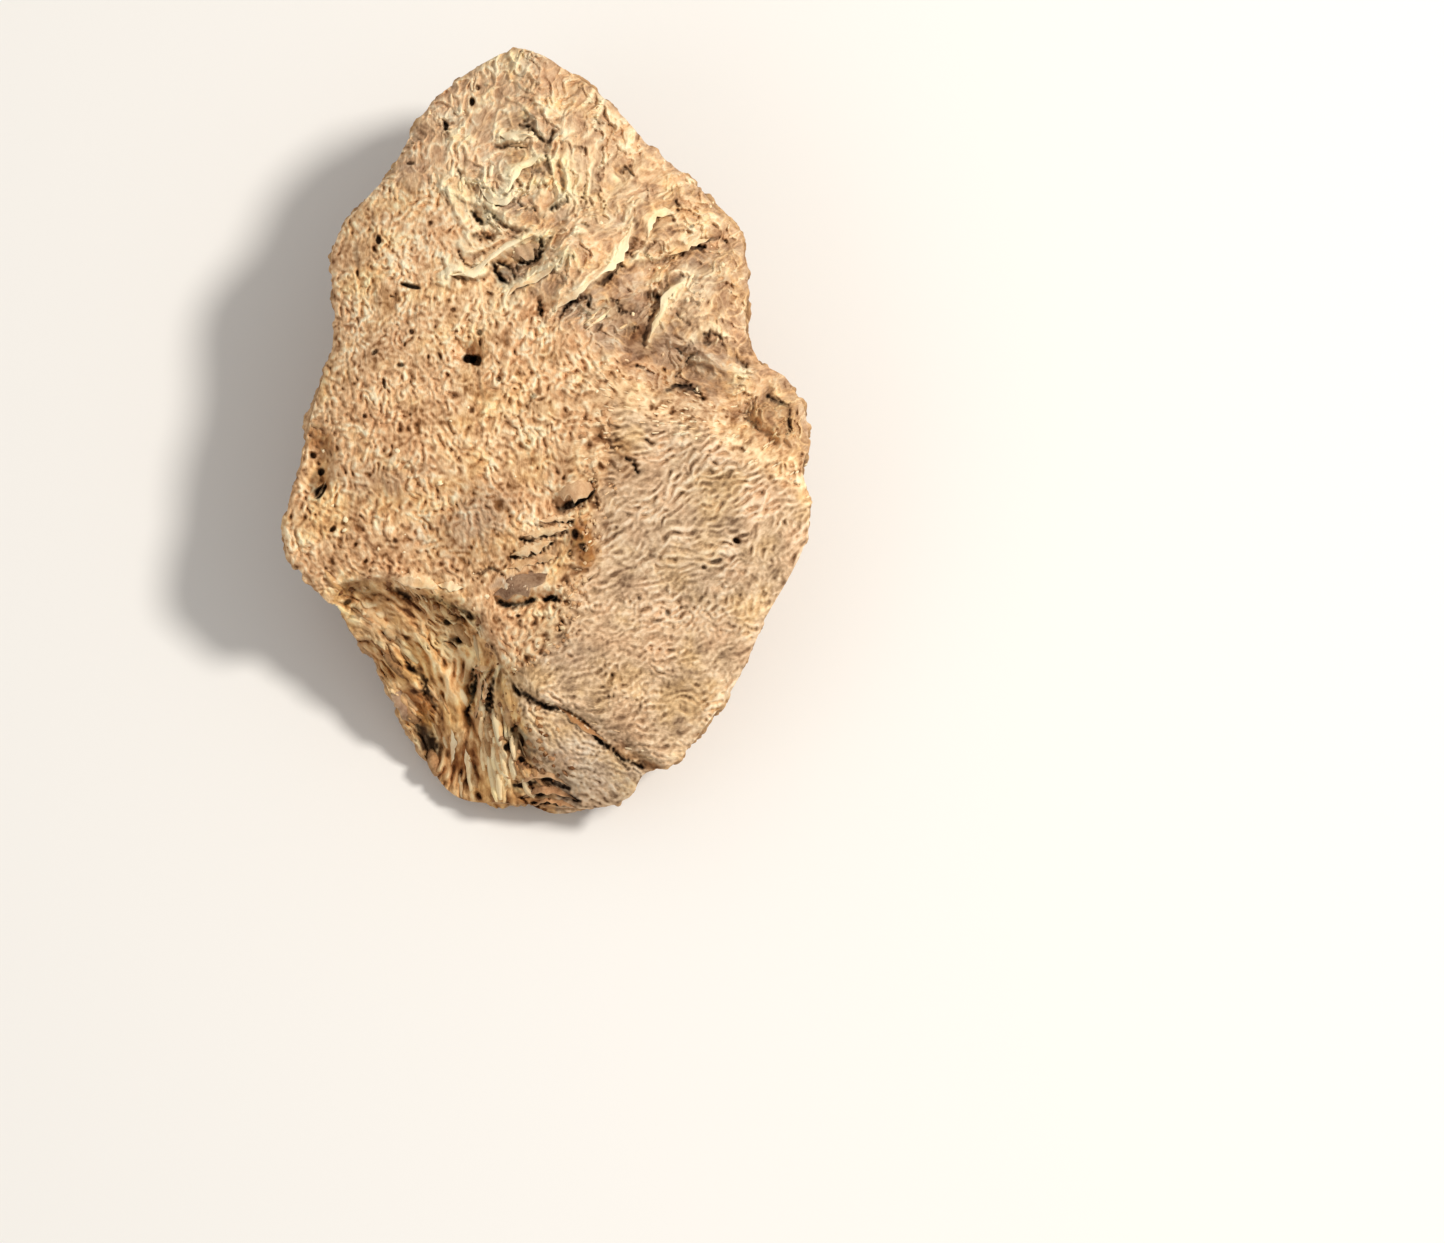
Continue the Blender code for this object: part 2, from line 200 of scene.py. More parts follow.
# Borders of the regions, as in the solid.
crustEdge = ((-27.0, -16.6), (-21.6, -17.4), (-20.6, -15.4), (-16.3, -14.7), (-11.8, -16.2), (-7.0, -18.2),
             (-5.8, -21.6), (-4.8, -24.0), (-2.0, -26.6), (3.3, -28.9), (6.4, -30.8), (9.4, -32.5),
             (14.0, -36.4))
facetBorder = ((-27.0, -7.0), (-24.0, -3.0), (-21.0, 1.0), (-13.0, 4.0), (-7.0, 5.0), (3.0, 6.4))
toeBorder = ((-38.0, 0.5), (-33.0, -1.2), (-28.0, -3.2), (-23.0, -5.2))
ridgeLine = ((-2.0, 8.6), (1.8, 6.5), (10.1, 3.2), (15.6, 1.9), (21.2, -1.4), (25.6, -4.4))

ragged = 0.5 * wander + 0.25 * crepe
below = onLine(crustEdge, gridU + 0.4 * wander) - gridV + 0.5 * ragged
broken = smoothStep(below, -0.15, 0.35)
toe = broken * smoothStep(gridU - onLine(toeBorder, gridV) + 0.6 * ragged, -0.4, 0.4)
fibres = broken - toe
ridgeOff = gridV - onLine(ridgeLine, gridU)
facet = smoothStep(gridU - onLine(facetBorder, gridV) + 0.7 * ragged, -0.5, 0.5) * (1 - broken)
facet = facet * smoothStep(-ridgeOff + 0.8 * ragged, 1.6, 3.0)
shoulder = smoothStep(gridU + 0.85 * (gridV - 10.0) + 2.0 * wander, -4.0, 4.0)
shoulder = shoulder * smoothStep(ridgeOff, 0.2, 2.6) * (1 - broken)
cheek = smoothStep(-(gridU + 9.0) - 0.25 * (gridV - 14.0) + 1.5 * wander, -3.0, 3.0)
cheek = cheek * smoothStep(gridV, -2.0, 8.0) * (1 - shoulder) * (1 - broken)
front = np.clip(1.0 - facet - shoulder - cheek - broken, 0.0, 1.0)
pebbled = facet * smoothStep(-gridV + 2.0 * wander, 11.0, 18.0)
ridgeBand = np.exp(-((ridgeOff + 1.0) / 1.9) ** 2) * smoothStep(gridU, 1.0, 7.0) * (1 - broken)
strip = np.exp(-((gridU - onLine(facetBorder, gridV) + 0.2) / 1.3) ** 2) * (1 - broken)
strip = strip * smoothStep(-ridgeOff, -0.5, 1.5)

# Height of each kind of wrinkle, in millimetres, on each region.
wrinkleHeights = {
    "cheek": {"crepe": 0.17, "crepeFine": 0.08, "lumps": 0.06},
    "front": {"crepe": 0.20, "crepeFine": 0.07, "lumps": 0.10},
    "shoulder": {"crumpled": 0.32, "foldGrain": 0.08, "crepe": 0.10, "crepeFine": 0.07},
    "facet": {"ripple": 0.22, "crepe": 0.03, "crepeFine": 0.04, "pebble": 0.02},
    "pebbled": {"ripple": 0.13, "crepe": 0.09, "crepeFine": 0.08, "pebble": 0.03},
    "fibres": {"fibreGrain": 0.42, "fibreFine": 0.10, "lumps": 0.14, "crossing": 0.14},
    "toe": {"ripple": 0.09, "crepeFine": 0.07, "pebble": 0.02},
}
regions = {"cheek": cheek, "front": front, "shoulder": shoulder, "facet": facet - pebbled,
           "pebbled": pebbled, "fibres": fibres, "toe": toe}
kinds = {"crepe": crepe, "crepeFine": crepeFine, "foldGrain": foldGrain, "ripple": ripple, "lumps": lumps,
         "fibreGrain": fibreGrain, "fibreFine": fibreFine, "pebble": pebble, "crossing": crossing,
         "crumpled": crumpled}


def capped(field, knee=0.2, softness=2.4):
    # broad crests and narrow grooves
    return 0.5 - np.log1p(np.exp(-softness * (field - knee))) / softness


relief = 0.10 * swell + 0.30 * strip * capped(lumps) + 0.10 * ridgeBand * capped(lumps)
strength = np.clip(1.0 + 0.45 * mottle, 0.25, 1.9)
# crest is a tone that rises with the wrinkles, darker in grooves and lighter on crests: partly the root's own
# colour, partly painted shade and highlight
crest = np.zeros_like(gridU)
for regionName, heights in wrinkleHeights.items():
    total = sum(heights.values())
    for kindName, height in heights.items():
        shape = kinds[kindName] if kindName == "crumpled" else capped(kinds[kindName])
        relief = relief + strength * regions[regionName] * height * shape
        crest = crest + regions[regionName] * height / total * kinds[kindName]
# the wrinkles lean down the face a little, so that each has a gentle side and a steep one
lean = 0.35 * (1.0 - 0.5 * facet) * relief
relief = read(relief, gridU + 0.2 * lean, gridV + lean)
# smooth places under the larger flakes, and one among the torn fibres
calmPlaces = ((-2.8, -15.6, 3.7, 1.9, 16), (2.9, -6.0, 2.2, 1.1, 14), (-2.4, -13.5, 1.8, 0.6, 12),
              (-17.2, -27.8, 1.2, 1.6, 30))
for place in calmPlaces:
    calm = smoothStep(spot(gridU, gridV, place), 0.25, 0.6)
    relief = relief * (1.0 - 0.95 * calm) - 0.15 * calm

# Filled hollows (height, half-width, line).
fills = {
    "barkFoldFill": (0.85, 0.75, ((3.6, 13.0), (5.5, 14.8), (8.2, 16.0), (10.9, 16.8))),
    "barkFoldEnd": (0.5, 0.6, ((16.6, 18.8), (18.2, 19.4))),
    "lobeFill": (0.55, 0.6, ((9.2, 11.2), (10.0, 13.4), (11.0, 15.6))),
    "hollowFill": (0.5, 0.7, ((12.0, 5.0), (15.0, 3.8), (18.0, 2.4))),
    "lobeRim": (0.5, 0.6, ((19.6, 16.6), (18.0, 15.0), (17.6, 12.0), (18.8, 9.6))),
    "hollowRib": (0.5, 0.4, ((12.2, 8.6), (15.6, 7.2), (19.8, 5.2))),
    "ridgeLip": (0.35, 0.7, ((7.0, 4.4), (12.0, 2.4), (18.0, 0.4), (22.6, -2.4), (25.2, -4.4))),
    "crustLip": (0.3, 0.5, ((-20.0, -14.6), (-16.0, -14.0), (-12.0, -15.4), (-8.0, -17.0))),
    "fibreBrace": (0.8, 0.4, ((-6.8, -23.4), (-6.6, -26.0), (-6.4, -28.6))),
    "fibreShelf": (0.7, 0.6, ((-13.0, -20.0), (-11.0, -24.0), (-9.0, -28.4))),
}
# Folds (height, half-width, line): gentle on the left of the line, steep on its right, with the crest painted
# lighter, partly as a highlight, and painted shade just beyond the steep side.
folds = {
    "knotLidTop": (0.45, 0.32, ((-5.0, 29.5), (-3.9, 29.2), (-2.5, 29.2), (-1.3, 29.0))),
    "knotLidLow": (0.5, 0.34, ((-5.1, 28.6), (-3.7, 28.5), (-2.3, 28.6))),
    "knotSheet": (0.8, 0.4, ((-4.2, 23.3), (-3.7, 24.7), (-3.3, 25.7), (-2.2, 26.4), (-0.9, 27.1))),
    "knotInner": (0.4, 0.32, ((-2.7, 24.3), (-1.5, 24.5), (-0.8, 24.3), (0.0, 24.7))),
    "knotCup": (0.65, 0.42, ((-7.1, 24.5), (-6.6, 23.6), (-5.8, 22.9), (-4.9, 22.4), (-4.0, 22.5),
                             (-3.2, 23.1))),
    "knotCupLow": (0.5, 0.36, ((-8.7, 23.3), (-7.5, 22.8), (-6.4, 22.2), (-5.3, 21.6), (-4.1, 21.0))),
    "knotRight": (0.7, 0.4, ((1.8, 24.9), (1.9, 23.7), (1.5, 22.8), (0.4, 22.1), (-0.3, 21.3))),
    "knotEdge": (0.5, 0.36, ((-1.2, 28.4), (-0.5, 27.4), (0.1, 25.9), (0.6, 24.7), (0.5, 23.5))),
    "knotFoot": (0.5, 0.36, ((-6.3, 20.6), (-5.2, 21.0), (-3.9, 20.5), (-2.7, 20.0), (-1.5, 19.5))),
    "wallUpper": (0.6, 0.5, ((-9.8, 23.9), (-9.6, 22.5), (-9.3, 21.5), (-8.5, 20.2), (-7.9, 19.0))),
    "wallLower": (0.5, 0.4, ((-8.7, 18.2), (-8.1, 17.4), (-7.3, 17.8), (-6.1, 18.6), (-5.2, 19.0))),
    "wallFold": (0.5, 0.36, ((-9.3, 20.7), (-8.3, 20.0), (-7.1, 20.2), (-5.9, 20.0), (-4.9, 19.7))),
    "brow": (1.0, 0.5, ((-10.2, 14.4), (-9.6, 15.4), (-8.6, 15.4), (-7.4, 15.2), (-6.4, 15.7),
                        (-5.7, 16.7), (-5.1, 17.7),
        (-4.1, 18.2), (-2.9, 18.7), (-1.5, 18.9), (-0.3, 18.7))),
    "sill": (0.85, 0.42, ((-4.3, 12.9), (-4.0, 13.8), (-3.2, 14.3), (-2.0, 14.7), (-0.8, 15.2),
                          (0.3, 15.9), (1.3, 16.7),
        (2.0, 17.5))),
    "sillPost": (0.5, 0.3, ((0.1, 16.2), (-0.1, 17.2), (-0.4, 18.3))),
    "pocketPlate": (0.5, 0.4, ((-3.7, 17.9), (-2.9, 18.1), (-1.9, 18.1), (-1.0, 18.2))),
    "pocketRib": (0.5, 0.28, ((-4.8, 13.8), (-5.1, 14.8), (-4.9, 15.8), (-4.5, 16.2))),
    "lowerKnee": (0.5, 0.36, ((-3.4, 13.1), (-3.0, 12.3), (-2.2, 11.9))),
    "lowRidge": (0.6, 0.4, ((0.4, 11.3), (0.8, 12.2), (1.8, 12.9), (3.0, 13.7), (4.2, 14.5), (5.3, 15.2))),
    "flap": (1.0, 0.5, ((4.9, 14.9), (5.8, 15.7), (6.6, 16.4), (7.2, 17.3), (7.8, 18.6), (8.3, 20.2))),
    "arc1": (0.5, 0.34, ((1.4, 16.0), (2.0, 16.9), (2.9, 16.8), (3.2, 15.8))),
    "stemA": (0.5, 0.34, ((4.1, 21.3), (4.0, 23.1), (4.3, 25.2), (4.7, 27.7))),
    "stemB": (0.45, 0.32, ((3.0, 21.5), (2.9, 23.3), (2.8, 25.1), (2.6, 26.7))),
    "stemC": (0.5, 0.34, ((1.9, 21.7), (2.4, 23.1), (2.3, 24.9), (2.0, 26.7), (1.7, 28.1))),
    "stemD": (0.45, 0.34, ((5.5, 21.1), (5.6, 22.1), (6.2, 23.2), (6.8, 24.1), (6.9, 25.3))),
    "upperA": (0.5, 0.36, ((0.6, 26.7), (0.7, 27.9), (1.3, 28.8), (2.3, 29.2))),
    "upperB": (0.45, 0.34, ((5.5, 26.2), (6.4, 27.1), (7.4, 28.0), (8.2, 28.9))),
    "upperC": (0.5, 0.36, ((7.2, 24.3), (8.0, 25.3), (9.1, 26.0), (10.2, 26.3))),
    "upperD": (0.45, 0.34, ((6.3, 19.5), (7.3, 20.3), (8.3, 21.3), (9.0, 22.4), (9.6, 23.7))),
    "upperE": (0.5, 0.36, ((8.7, 16.6), (9.3, 17.8), (9.4, 19.0), (9.8, 20.0))),
    "upperF": (0.45, 0.34, ((4.0, 28.8), (5.0, 29.9), (5.6, 31.4), (6.0, 32.6))),
    "upperG": (0.45, 0.34, ((1.0, 30.5), (2.0, 31.3), (3.4, 31.8), (4.6, 33.1))),
    "upperH": (0.5, 0.36, ((2.6, 19.0), (3.7, 19.8), (4.9, 20.0), (5.9, 20.7))),
    "upperI": (0.45, 0.34, ((11.0, 23.3), (12.0, 24.2), (13.2, 24.5), (14.2, 25.0))),
    "arch": (0.65, 0.36, ((9.9, 18.8), (9.9, 20.2), (10.4, 21.3), (11.4, 21.8), (12.3, 21.5), (12.7, 20.5))),
    "archIn": (0.45, 0.32, ((11.0, 19.6), (12.0, 20.2), (13.4, 20.5), (14.4, 19.9))),
    "archLow": (0.5, 0.34, ((10.5, 18.0), (11.8, 18.5), (13.2, 18.9), (14.6, 19.5))),
    "foldEdge": (0.6, 0.42, ((9.0, 16.6), (10.2, 17.0), (11.4, 17.5), (12.8, 18.1), (14.0, 18.6),
                             (15.2, 19.1))),
    "lobeLip": (0.9, 0.42, ((13.6, 14.7), (12.5, 13.8), (11.8, 12.8), (11.4, 11.8), (10.9, 10.8),
                            (10.3, 9.7), (9.8, 8.9))),
    "lobeBand": (0.4, 0.5, ((11.2, 14.8), (12.6, 15.3), (14.4, 15.6), (16.2, 15.8))),
    "hollowRimA": (0.5, 0.4, ((12.6, 8.7), (14.0, 8.3), (15.4, 9.1), (16.6, 9.6), (18.0, 9.0))),
    "hollowRimB": (0.4, 0.34, ((14.2, 6.6), (16.2, 6.2), (18.2, 6.0), (20.6, 5.6))),
    "hollowRimC": (0.4, 0.32, ((14.8, 5.6), (16.6, 5.4), (18.8, 5.4), (21.0, 4.8))),
    "fibreEye": (0.4, 0.3, ((-19.9, -18.2), (-19.7, -17.4), (-18.9, -17.1), (-18.2, -17.6),
                            (-18.2, -18.4), (-18.9, -18.9),
        (-19.7, -18.6))),
}
# Cracks and slits (depth, half-width, line), each cut in and painted dark with shade.
cracks = {
    "knotSlitTop": (0.4, 0.16, ((-4.5, 28.8), (-3.6, 28.9), (-2.7, 28.7))),
    "knotSlit": (0.8, 0.22, ((-5.3, 28.2), (-4.6, 27.9), (-3.6, 28.0), (-2.6, 28.0))),
    "knotFork": (0.8, 0.24, ((-2.8, 30.0), (-2.1, 29.8), (-1.6, 29.6), (-1.1, 29.0), (-0.4, 28.8),
                             (0.2, 29.2))),
    "knotForkUp": (0.5, 0.18, ((-2.5, 31.2), (-2.3, 30.5), (-2.0, 29.8))),
    "knotSide": (0.7, 0.2, ((-0.9, 27.7), (-0.5, 26.7), (0.0, 25.6), (0.3, 24.9))),
    "knotGrey": (0.35, 0.3, ((-2.6, 25.4), (-1.7, 25.6), (-0.9, 25.8))),
    "knotInner": (0.5, 0.2, ((-1.3, 24.1), (-0.5, 23.9), (0.1, 24.4), (0.5, 24.9))),
    "knotLeft": (0.45, 0.18, ((-8.9, 26.2), (-8.5, 25.1), (-7.8, 23.9), (-7.0, 22.6), (-6.0, 21.5),
                              (-4.9, 20.8))),
    "knotBrown": (0.5, 0.18, ((-6.8, 23.9), (-6.0, 23.6), (-5.3, 23.1))),
    "knotUnder": (0.9, 0.26, ((-5.1, 22.2), (-4.5, 21.9), (-3.8, 22.2), (-3.6, 22.5))),
    "knotUnderMid": (0.7, 0.24, ((-3.0, 22.5), (-2.5, 22.0), (-1.8, 21.9), (-1.3, 22.2))),
    "knotEye": (0.9, 0.28, ((0.1, 21.6), (0.7, 22.0), (1.4, 22.3), (1.8, 22.7))),
    "knotSlot": (1.1, 0.26, ((-7.7, 21.9), (-7.1, 21.1), (-6.6, 20.7))),
    "foldSlot": (0.9, 0.26, ((-7.7, 19.6), (-6.9, 19.7), (-6.0, 19.4))),
    "underFoot": (0.5, 0.28, ((-5.1, 20.8), (-4.1, 20.3), (-3.1, 19.9), (-2.1, 19.5))),
    "underFoot2": (0.5, 0.2, ((-5.4, 19.6), (-4.5, 19.3), (-3.3, 19.1))),
    "wallLine": (0.5, 0.16, ((-8.7, 17.5), (-8.2, 16.5), (-7.4, 16.2), (-6.4, 16.6))),
    "wallLine2": (0.45, 0.16, ((-7.2, 17.2), (-6.5, 17.8), (-5.7, 18.3))),
    "browUnder": (0.5, 0.18, ((-9.2, 14.8), (-8.4, 14.8), (-7.4, 14.5), (-6.4, 15.0))),
    "pocketDeepA": (1.1, 0.28, ((-5.5, 16.6), (-5.2, 16.0), (-4.9, 15.2), (-4.6, 14.6))),
    "pocketDeepB": (1.2, 0.28, ((-4.9, 16.6), (-4.2, 16.4), (-3.7, 15.7), (-3.3, 15.2))),
    "pocketDeepC": (0.8, 0.22, ((-4.6, 14.7), (-4.1, 14.2))),
    "pocketLine": (1.1, 0.22, ((-2.8, 16.7), (-2.1, 16.6), (-1.3, 16.8), (-0.6, 17.2), (-0.5, 18.1),
                               (-0.8, 18.5))),
    "pocketSpot": (0.8, 0.24, ((-3.2, 16.3), (-3.1, 16.0))),
    "kneeHole": (1.3, 0.36, ((-1.1, 12.5), (-1.0, 11.9), (-1.0, 11.3))),
    "kneeTail": (0.5, 0.2, ((-1.0, 11.3), (-0.4, 10.5), (0.4, 10.4))),
    "ridgeUnder": (1.0, 0.24, ((1.2, 11.0), (1.6, 11.8), (2.2, 12.3), (3.0, 12.7), (3.7, 13.0),
                               (4.0, 13.2), (4.1, 12.6))),
    "flapUnder": (1.2, 0.42, ((5.1, 14.3), (5.6, 14.7), (6.3, 15.1), (7.0, 15.6), (7.5, 16.1))),
    "greyCrackA": (0.6, 0.2, ((5.5, 12.7), (6.4, 12.8), (7.0, 12.6), (7.3, 11.9))),
    "greyCrackB": (0.6, 0.2, ((7.3, 11.7), (8.1, 11.6), (8.8, 12.1))),
    "strawGap": (0.6, 0.18, ((4.2, 9.5), (5.0, 10.3), (5.7, 11.0))),
    "strawGap2": (0.7, 0.22, ((4.9, 9.6), (5.3, 10.1))),
    "kneeSlot": (0.5, 0.2, ((1.1, 14.4), (1.8, 14.2), (2.5, 14.4))),
    "kneeSlot2": (0.6, 0.2, ((2.1, 17.0), (2.6, 16.7))),
    "stemLineA": (0.4, 0.16, ((5.2, 27.9), (5.3, 25.6), (5.2, 23.2), (5.5, 22.1))),
    "stemLineB": (0.4, 0.16, ((3.8, 25.2), (3.7, 23.7), (3.6, 22.3))),
    "stemLineC": (0.5, 0.2, ((3.4, 20.2), (4.1, 19.9), (4.8, 20.0))),
    "upperLineA": (0.5, 0.18, ((5.2, 30.8), (5.5, 30.3), (6.0, 30.4))),
    "upperLineB": (0.5, 0.16, ((2.6, 28.0), (3.3, 27.7), (3.7, 27.3))),
    "upperLineC": (0.5, 0.16, ((7.4, 25.8), (8.0, 26.0), (8.5, 25.4))),
    "upperLineD": (0.5, 0.24, ((6.4, 19.9), (7.0, 19.8), (7.4, 20.1))),
    "upperLineE": (0.5, 0.16, ((8.2, 18.8), (8.3, 17.8), (8.4, 17.0))),
    "upperLineF": (0.5, 0.18, ((9.3, 23.3), (9.8, 22.6))),
    "upperLineG": (0.6, 0.2, ((12.8, 22.9), (13.2, 22.4), (13.0, 21.7))),
    "archLine": (0.6, 0.2, ((10.2, 20.5), (10.6, 21.0), (11.2, 21.3), (11.9, 21.2), (12.1, 20.5))),
    "archSlot": (0.45, 0.18, ((11.0, 19.5), (12.2, 19.4), (13.2, 19.7))),
    "shoulderSlot": (0.5, 0.2, ((9.4, 17.4), (9.7, 18.2), (9.9, 18.8))),
    "foldGap": (1.1, 0.36, ((13.3, 17.5), (14.0, 17.8), (14.7, 18.1), (15.3, 18.4), (15.8, 18.3))),
    "foldLine": (0.6, 0.22, ((10.0, 16.4), (11.2, 16.5), (12.2, 17.1), (13.2, 17.5))),
    "foldEnd": (0.6, 0.2, ((15.5, 19.0), (16.1, 19.0), (17.2, 19.3), (17.9, 18.9))),
    "lobePit": (1.1, 0.34, ((9.7, 13.0), (10.4, 12.9), (11.0, 12.9), (11.0, 12.3))),
    "lobeGlow": (0.5, 0.2, ((10.6, 11.4), (10.2, 10.7), (9.7, 9.9), (9.6, 9.3))),
    "lobeFoot": (0.6, 0.22, ((9.4, 9.3), (9.7, 8.7), (10.1, 8.3))),
    "lobeMark": (0.4, 0.16, ((13.0, 11.1), (13.6, 10.6), (14.0, 10.1))),
    "hollowSpot": (1.0, 0.28, ((7.9, 9.7), (8.4, 10.0))),
    "hollowSlit": (1.0, 0.22, ((9.1, 6.1), (9.8, 5.8), (10.4, 6.0), (11.1, 6.2))),
    "hollowMark": (0.6, 0.18, ((12.4, 8.3), (13.0, 7.8), (13.6, 8.1))),
    "hollowMark2": (0.6, 0.22, ((14.0, 6.7), (14.6, 7.2), (15.1, 7.5))),
    "rimLine": (0.6, 0.18, ((15.8, 8.9), (16.4, 9.3), (17.2, 9.1), (17.9, 8.6))),
    "hollowSlitLow": (1.1, 0.28, ((11.7, 3.7), (12.6, 4.1), (13.8, 4.2), (14.6, 3.7), (15.3, 2.9))),
    "hollowUp": (0.5, 0.18, ((12.6, 5.0), (13.1, 5.8))),
    "eyeRing": (0.5, 0.2, ((-19.3, -17.9), (-18.8, -18.0))),
    "crustDark": (0.9, 0.3, ((-15.1, -16.3), (-13.3, -16.6), (-11.3, -16.9), (-9.0, -17.5), (-7.0, -18.4),
                             (-6.2, -19.9),
        (-5.6, -21.6))),
    "fibreSplit": (1.6, 0.3, ((-7.5, -23.1), (-7.9, -25.0), (-8.1, -27.0), (-8.3, -29.5))),
    "fibreBar": (0.8, 0.2, ((-7.2, -24.2), (-5.9, -24.1))),
    "fibreBar2": (0.8, 0.2, ((-7.0, -25.0), (-6.8, -27.0), (-7.1, -28.6))),
    "fibreBar3": (0.8, 0.2, ((-6.0, -24.6), (-6.0, -26.2), (-6.2, -28.2))),
    "fibreCave": (1.7, 0.7, ((-13.9, -30.1), (-13.1, -31.1), (-12.2, -31.7), (-11.9, -32.5))),
    "fibreGap": (1.0, 0.26, ((-15.4, -21.0), (-13.8, -23.4), (-12.7, -25.4), (-11.5, -27.6))),
    "fibreSpot": (1.3, 0.4, ((-9.1, -21.0), (-8.6, -21.1))),
    "bottomSlotA": (1.0, 0.24, ((-3.4, -35.4), (-2.0, -34.9), (-0.6, -34.7), (0.6, -35.2), (1.6, -35.8))),
    "bottomSlotB": (1.0, 0.24, ((-2.7, -36.9), (-1.3, -36.2), (0.2, -36.0), (1.5, -36.7), (2.7, -37.3))),
    "bottomSlotC": (0.9, 0.22, ((-1.6, -37.7), (-0.3, -37.2), (0.9, -37.4))),
    "toeSplit": (1.1, 0.24, ((-5.5, -21.6), (-4.9, -23.0), (-4.1, -24.4), (-3.1, -25.7), (-1.3, -26.9),
                             (1.1, -28.0),
        (3.1, -29.1), (5.1, -30.7), (7.1, -32.1), (9.0, -33.5))),
    "flakeGap": (1.3, 0.42, ((1.5, -7.8), (2.2, -7.6), (3.0, -7.3), (3.8, -6.8), (4.4, -6.3))),
    "plateGap": (1.5, 0.36, ((-5.0, -17.0), (-4.2, -17.3), (-3.4, -17.5), (-2.4, -17.4), (-1.5, -16.9))),
    "plateSlit": (1.0, 0.22, ((-0.2, -17.2), (0.8, -17.0))),
    "splitHigh": (0.8, 0.24, ((-0.7, -9.6), (0.4, -9.4), (1.4, -9.3), (2.4, -9.1))),
    "splitMid": (0.9, 0.24, ((-2.3, -11.1), (-0.9, -10.8), (0.4, -10.7), (1.8, -10.2))),
    "splitLow": (0.9, 0.24, ((-3.5, -12.8), (-2.3, -12.7), (-1.0, -12.3), (0.4, -11.5))),
    "splitEdge": (0.7, 0.2, ((-1.0, -13.7), (-0.2, -13.4), (0.8, -12.9))),
    "pinkGap": (0.7, 0.18, ((-3.9, -14.8), (-2.7, -14.6), (-1.5, -14.4))),
    "cornerCrease": (0.4, 0.28, ((18.0, 2.0), (20.0, 1.0), (21.4, -0.6))),
    "cornerUpper": (0.7, 0.3, ((16.0, 8.4), (18.4, 7.8), (20.2, 6.4))),
    "cornerFold": (0.7, 0.3, ((22.4, 3.4), (23.8, 2.0), (24.4, 0.0))),
    "frontVein": (0.5, 0.22, ((-1.1, 5.2), (-1.0, 3.8), (-2.0, 2.2), (-3.2, 1.2))),
    "stripCurl": (0.8, 0.25, ((7.6, -3.4), (8.3, -3.6), (8.7, -4.4))),
    "splitLower": (0.6, 0.22, ((-7.6, -14.6), (-6.0, -14.2), (-4.6, -14.3))),
    "smallSlit": (1.0, 0.2, ((0.0, -17.1), (1.0, -16.8))),
    "toeSplitLow": (0.6, 0.2, ((5.4, -31.0), (6.6, -32.0), (7.6, -33.2), (8.6, -34.0))),
    "fibreSplit2": (0.9, 0.25, ((-5.8, -24.0), (-5.7, -26.4), (-5.9, -29.4))),
}
# Round and oval holes: u, v, half-lengths, turn, depth; each is painted dark with shade as well.
holes = (
    (-7.9, 6.9, 0.66, 0.46, 12, 2.2), (-7.2, 6.8, 0.66, 0.66, -10, 2.6), (-7.8, 32.6, 0.36, 0.42, 0, 1.2),
    (-10.5, 30.3, 0.26, 0.52, 10, 1.3), (-17.1, 19.0, 0.28, 0.48, 0, 1.2),
    (-7.2, 33.9, 0.22, 0.26, 0, 0.6), (-13.7, 14.2, 1.25, 0.24, -14, 1.1),
    (-15.7, 13.2, 0.4, 0.16, -10, 0.6), (-14.1, 26.8, 0.5, 0.16, 0, 0.6), (-13.6, 9.6, 0.3, 0.3, 0, 0.7),
    (-17.3, 7.6, 0.42, 0.2, 35, 0.7), (-14.7, 6.3, 0.36, 0.22, 0, 0.7), (-14.3, 8.4, 0.2, 0.34, 0, 0.6),
    (-16.3, 4.4, 0.18, 0.6, 8, 0.7), (-18.3, 1.2, 0.26, 0.3, 0, 0.6), (-4.9, 4.8, 0.3, 0.26, 0, 0.6),
    (-6.8, 9.4, 0.24, 0.3, 0, 0.7), (-22.7, -6.1, 0.9, 0.42, 55, 1.8), (-22.8, -4.3, 0.4, 0.3, 60, 1.2),
    (-23.6, -2.6, 0.4, 0.36, 30, 1.0), (-21.5, -10.0, 0.5, 0.26, 35, 0.8), (-15.2, -11.2, 0.3, 0.22, 20, 0.5),
    (18.9, -11.2, 0.46, 0.36, -25, 1.2), (16.6, -13.2, 0.7, 0.2, 20, 0.5), (15.4, -13.8, 0.3, 0.2, 0, 0.5),
    (11.8, -18.3, 0.3, 0.4, 0, 0.6), (10.8, -19.1, 0.6, 0.2, 10, 0.5), (9.0, -16.9, 0.2, 0.2, 0, 0.4),
    (-9.0, -21.0, 0.5, 0.42, 20, 1.5), (-10.2, -19.2, 0.36, 0.3, 0, 0.9),
    (2.7, -10.6, 0.36, 0.5, 15, 0.9), (3.5, -11.8, 0.3, 0.4, 40, 0.8), (2.2, -12.4, 0.26, 0.4, -20, 0.7),
    (2.2, -7.65, 1.0, 0.42, 14, 1.8), (3.6, -7.0, 1.1, 0.3, 32, 1.7), (-20.2, -17.2, 0.5, 0.3, 20, 0.8),
    (-3.0, -18.6, 0.3, 0.2, 0, 0.5), (14.2, 20.3, 0.3, 0.2, 30, 0.6),
    (-4.2, -31.6, 0.5, 0.4, 40, 1.2), (-2.8, -33.0, 0.5, 0.35, -30, 1.1), (-3.6, -29.8, 0.45, 0.3, 60, 1.0),
)
# foldShade lightens fold crests, partly the bark's own cream and partly a painted highlight; crackShade is
# painted shade in cracks, holes, creases and beyond each fold's steep side
foldShade, crackShade = np.zeros_like(gridU), np.zeros_like(gridU)
wobbleU, wobbleV = gridU + 0.2 * wander + 0.1 * wanderFine, gridV + 0.2 * grainNoise(1.1) + 0.1 * wanderCross


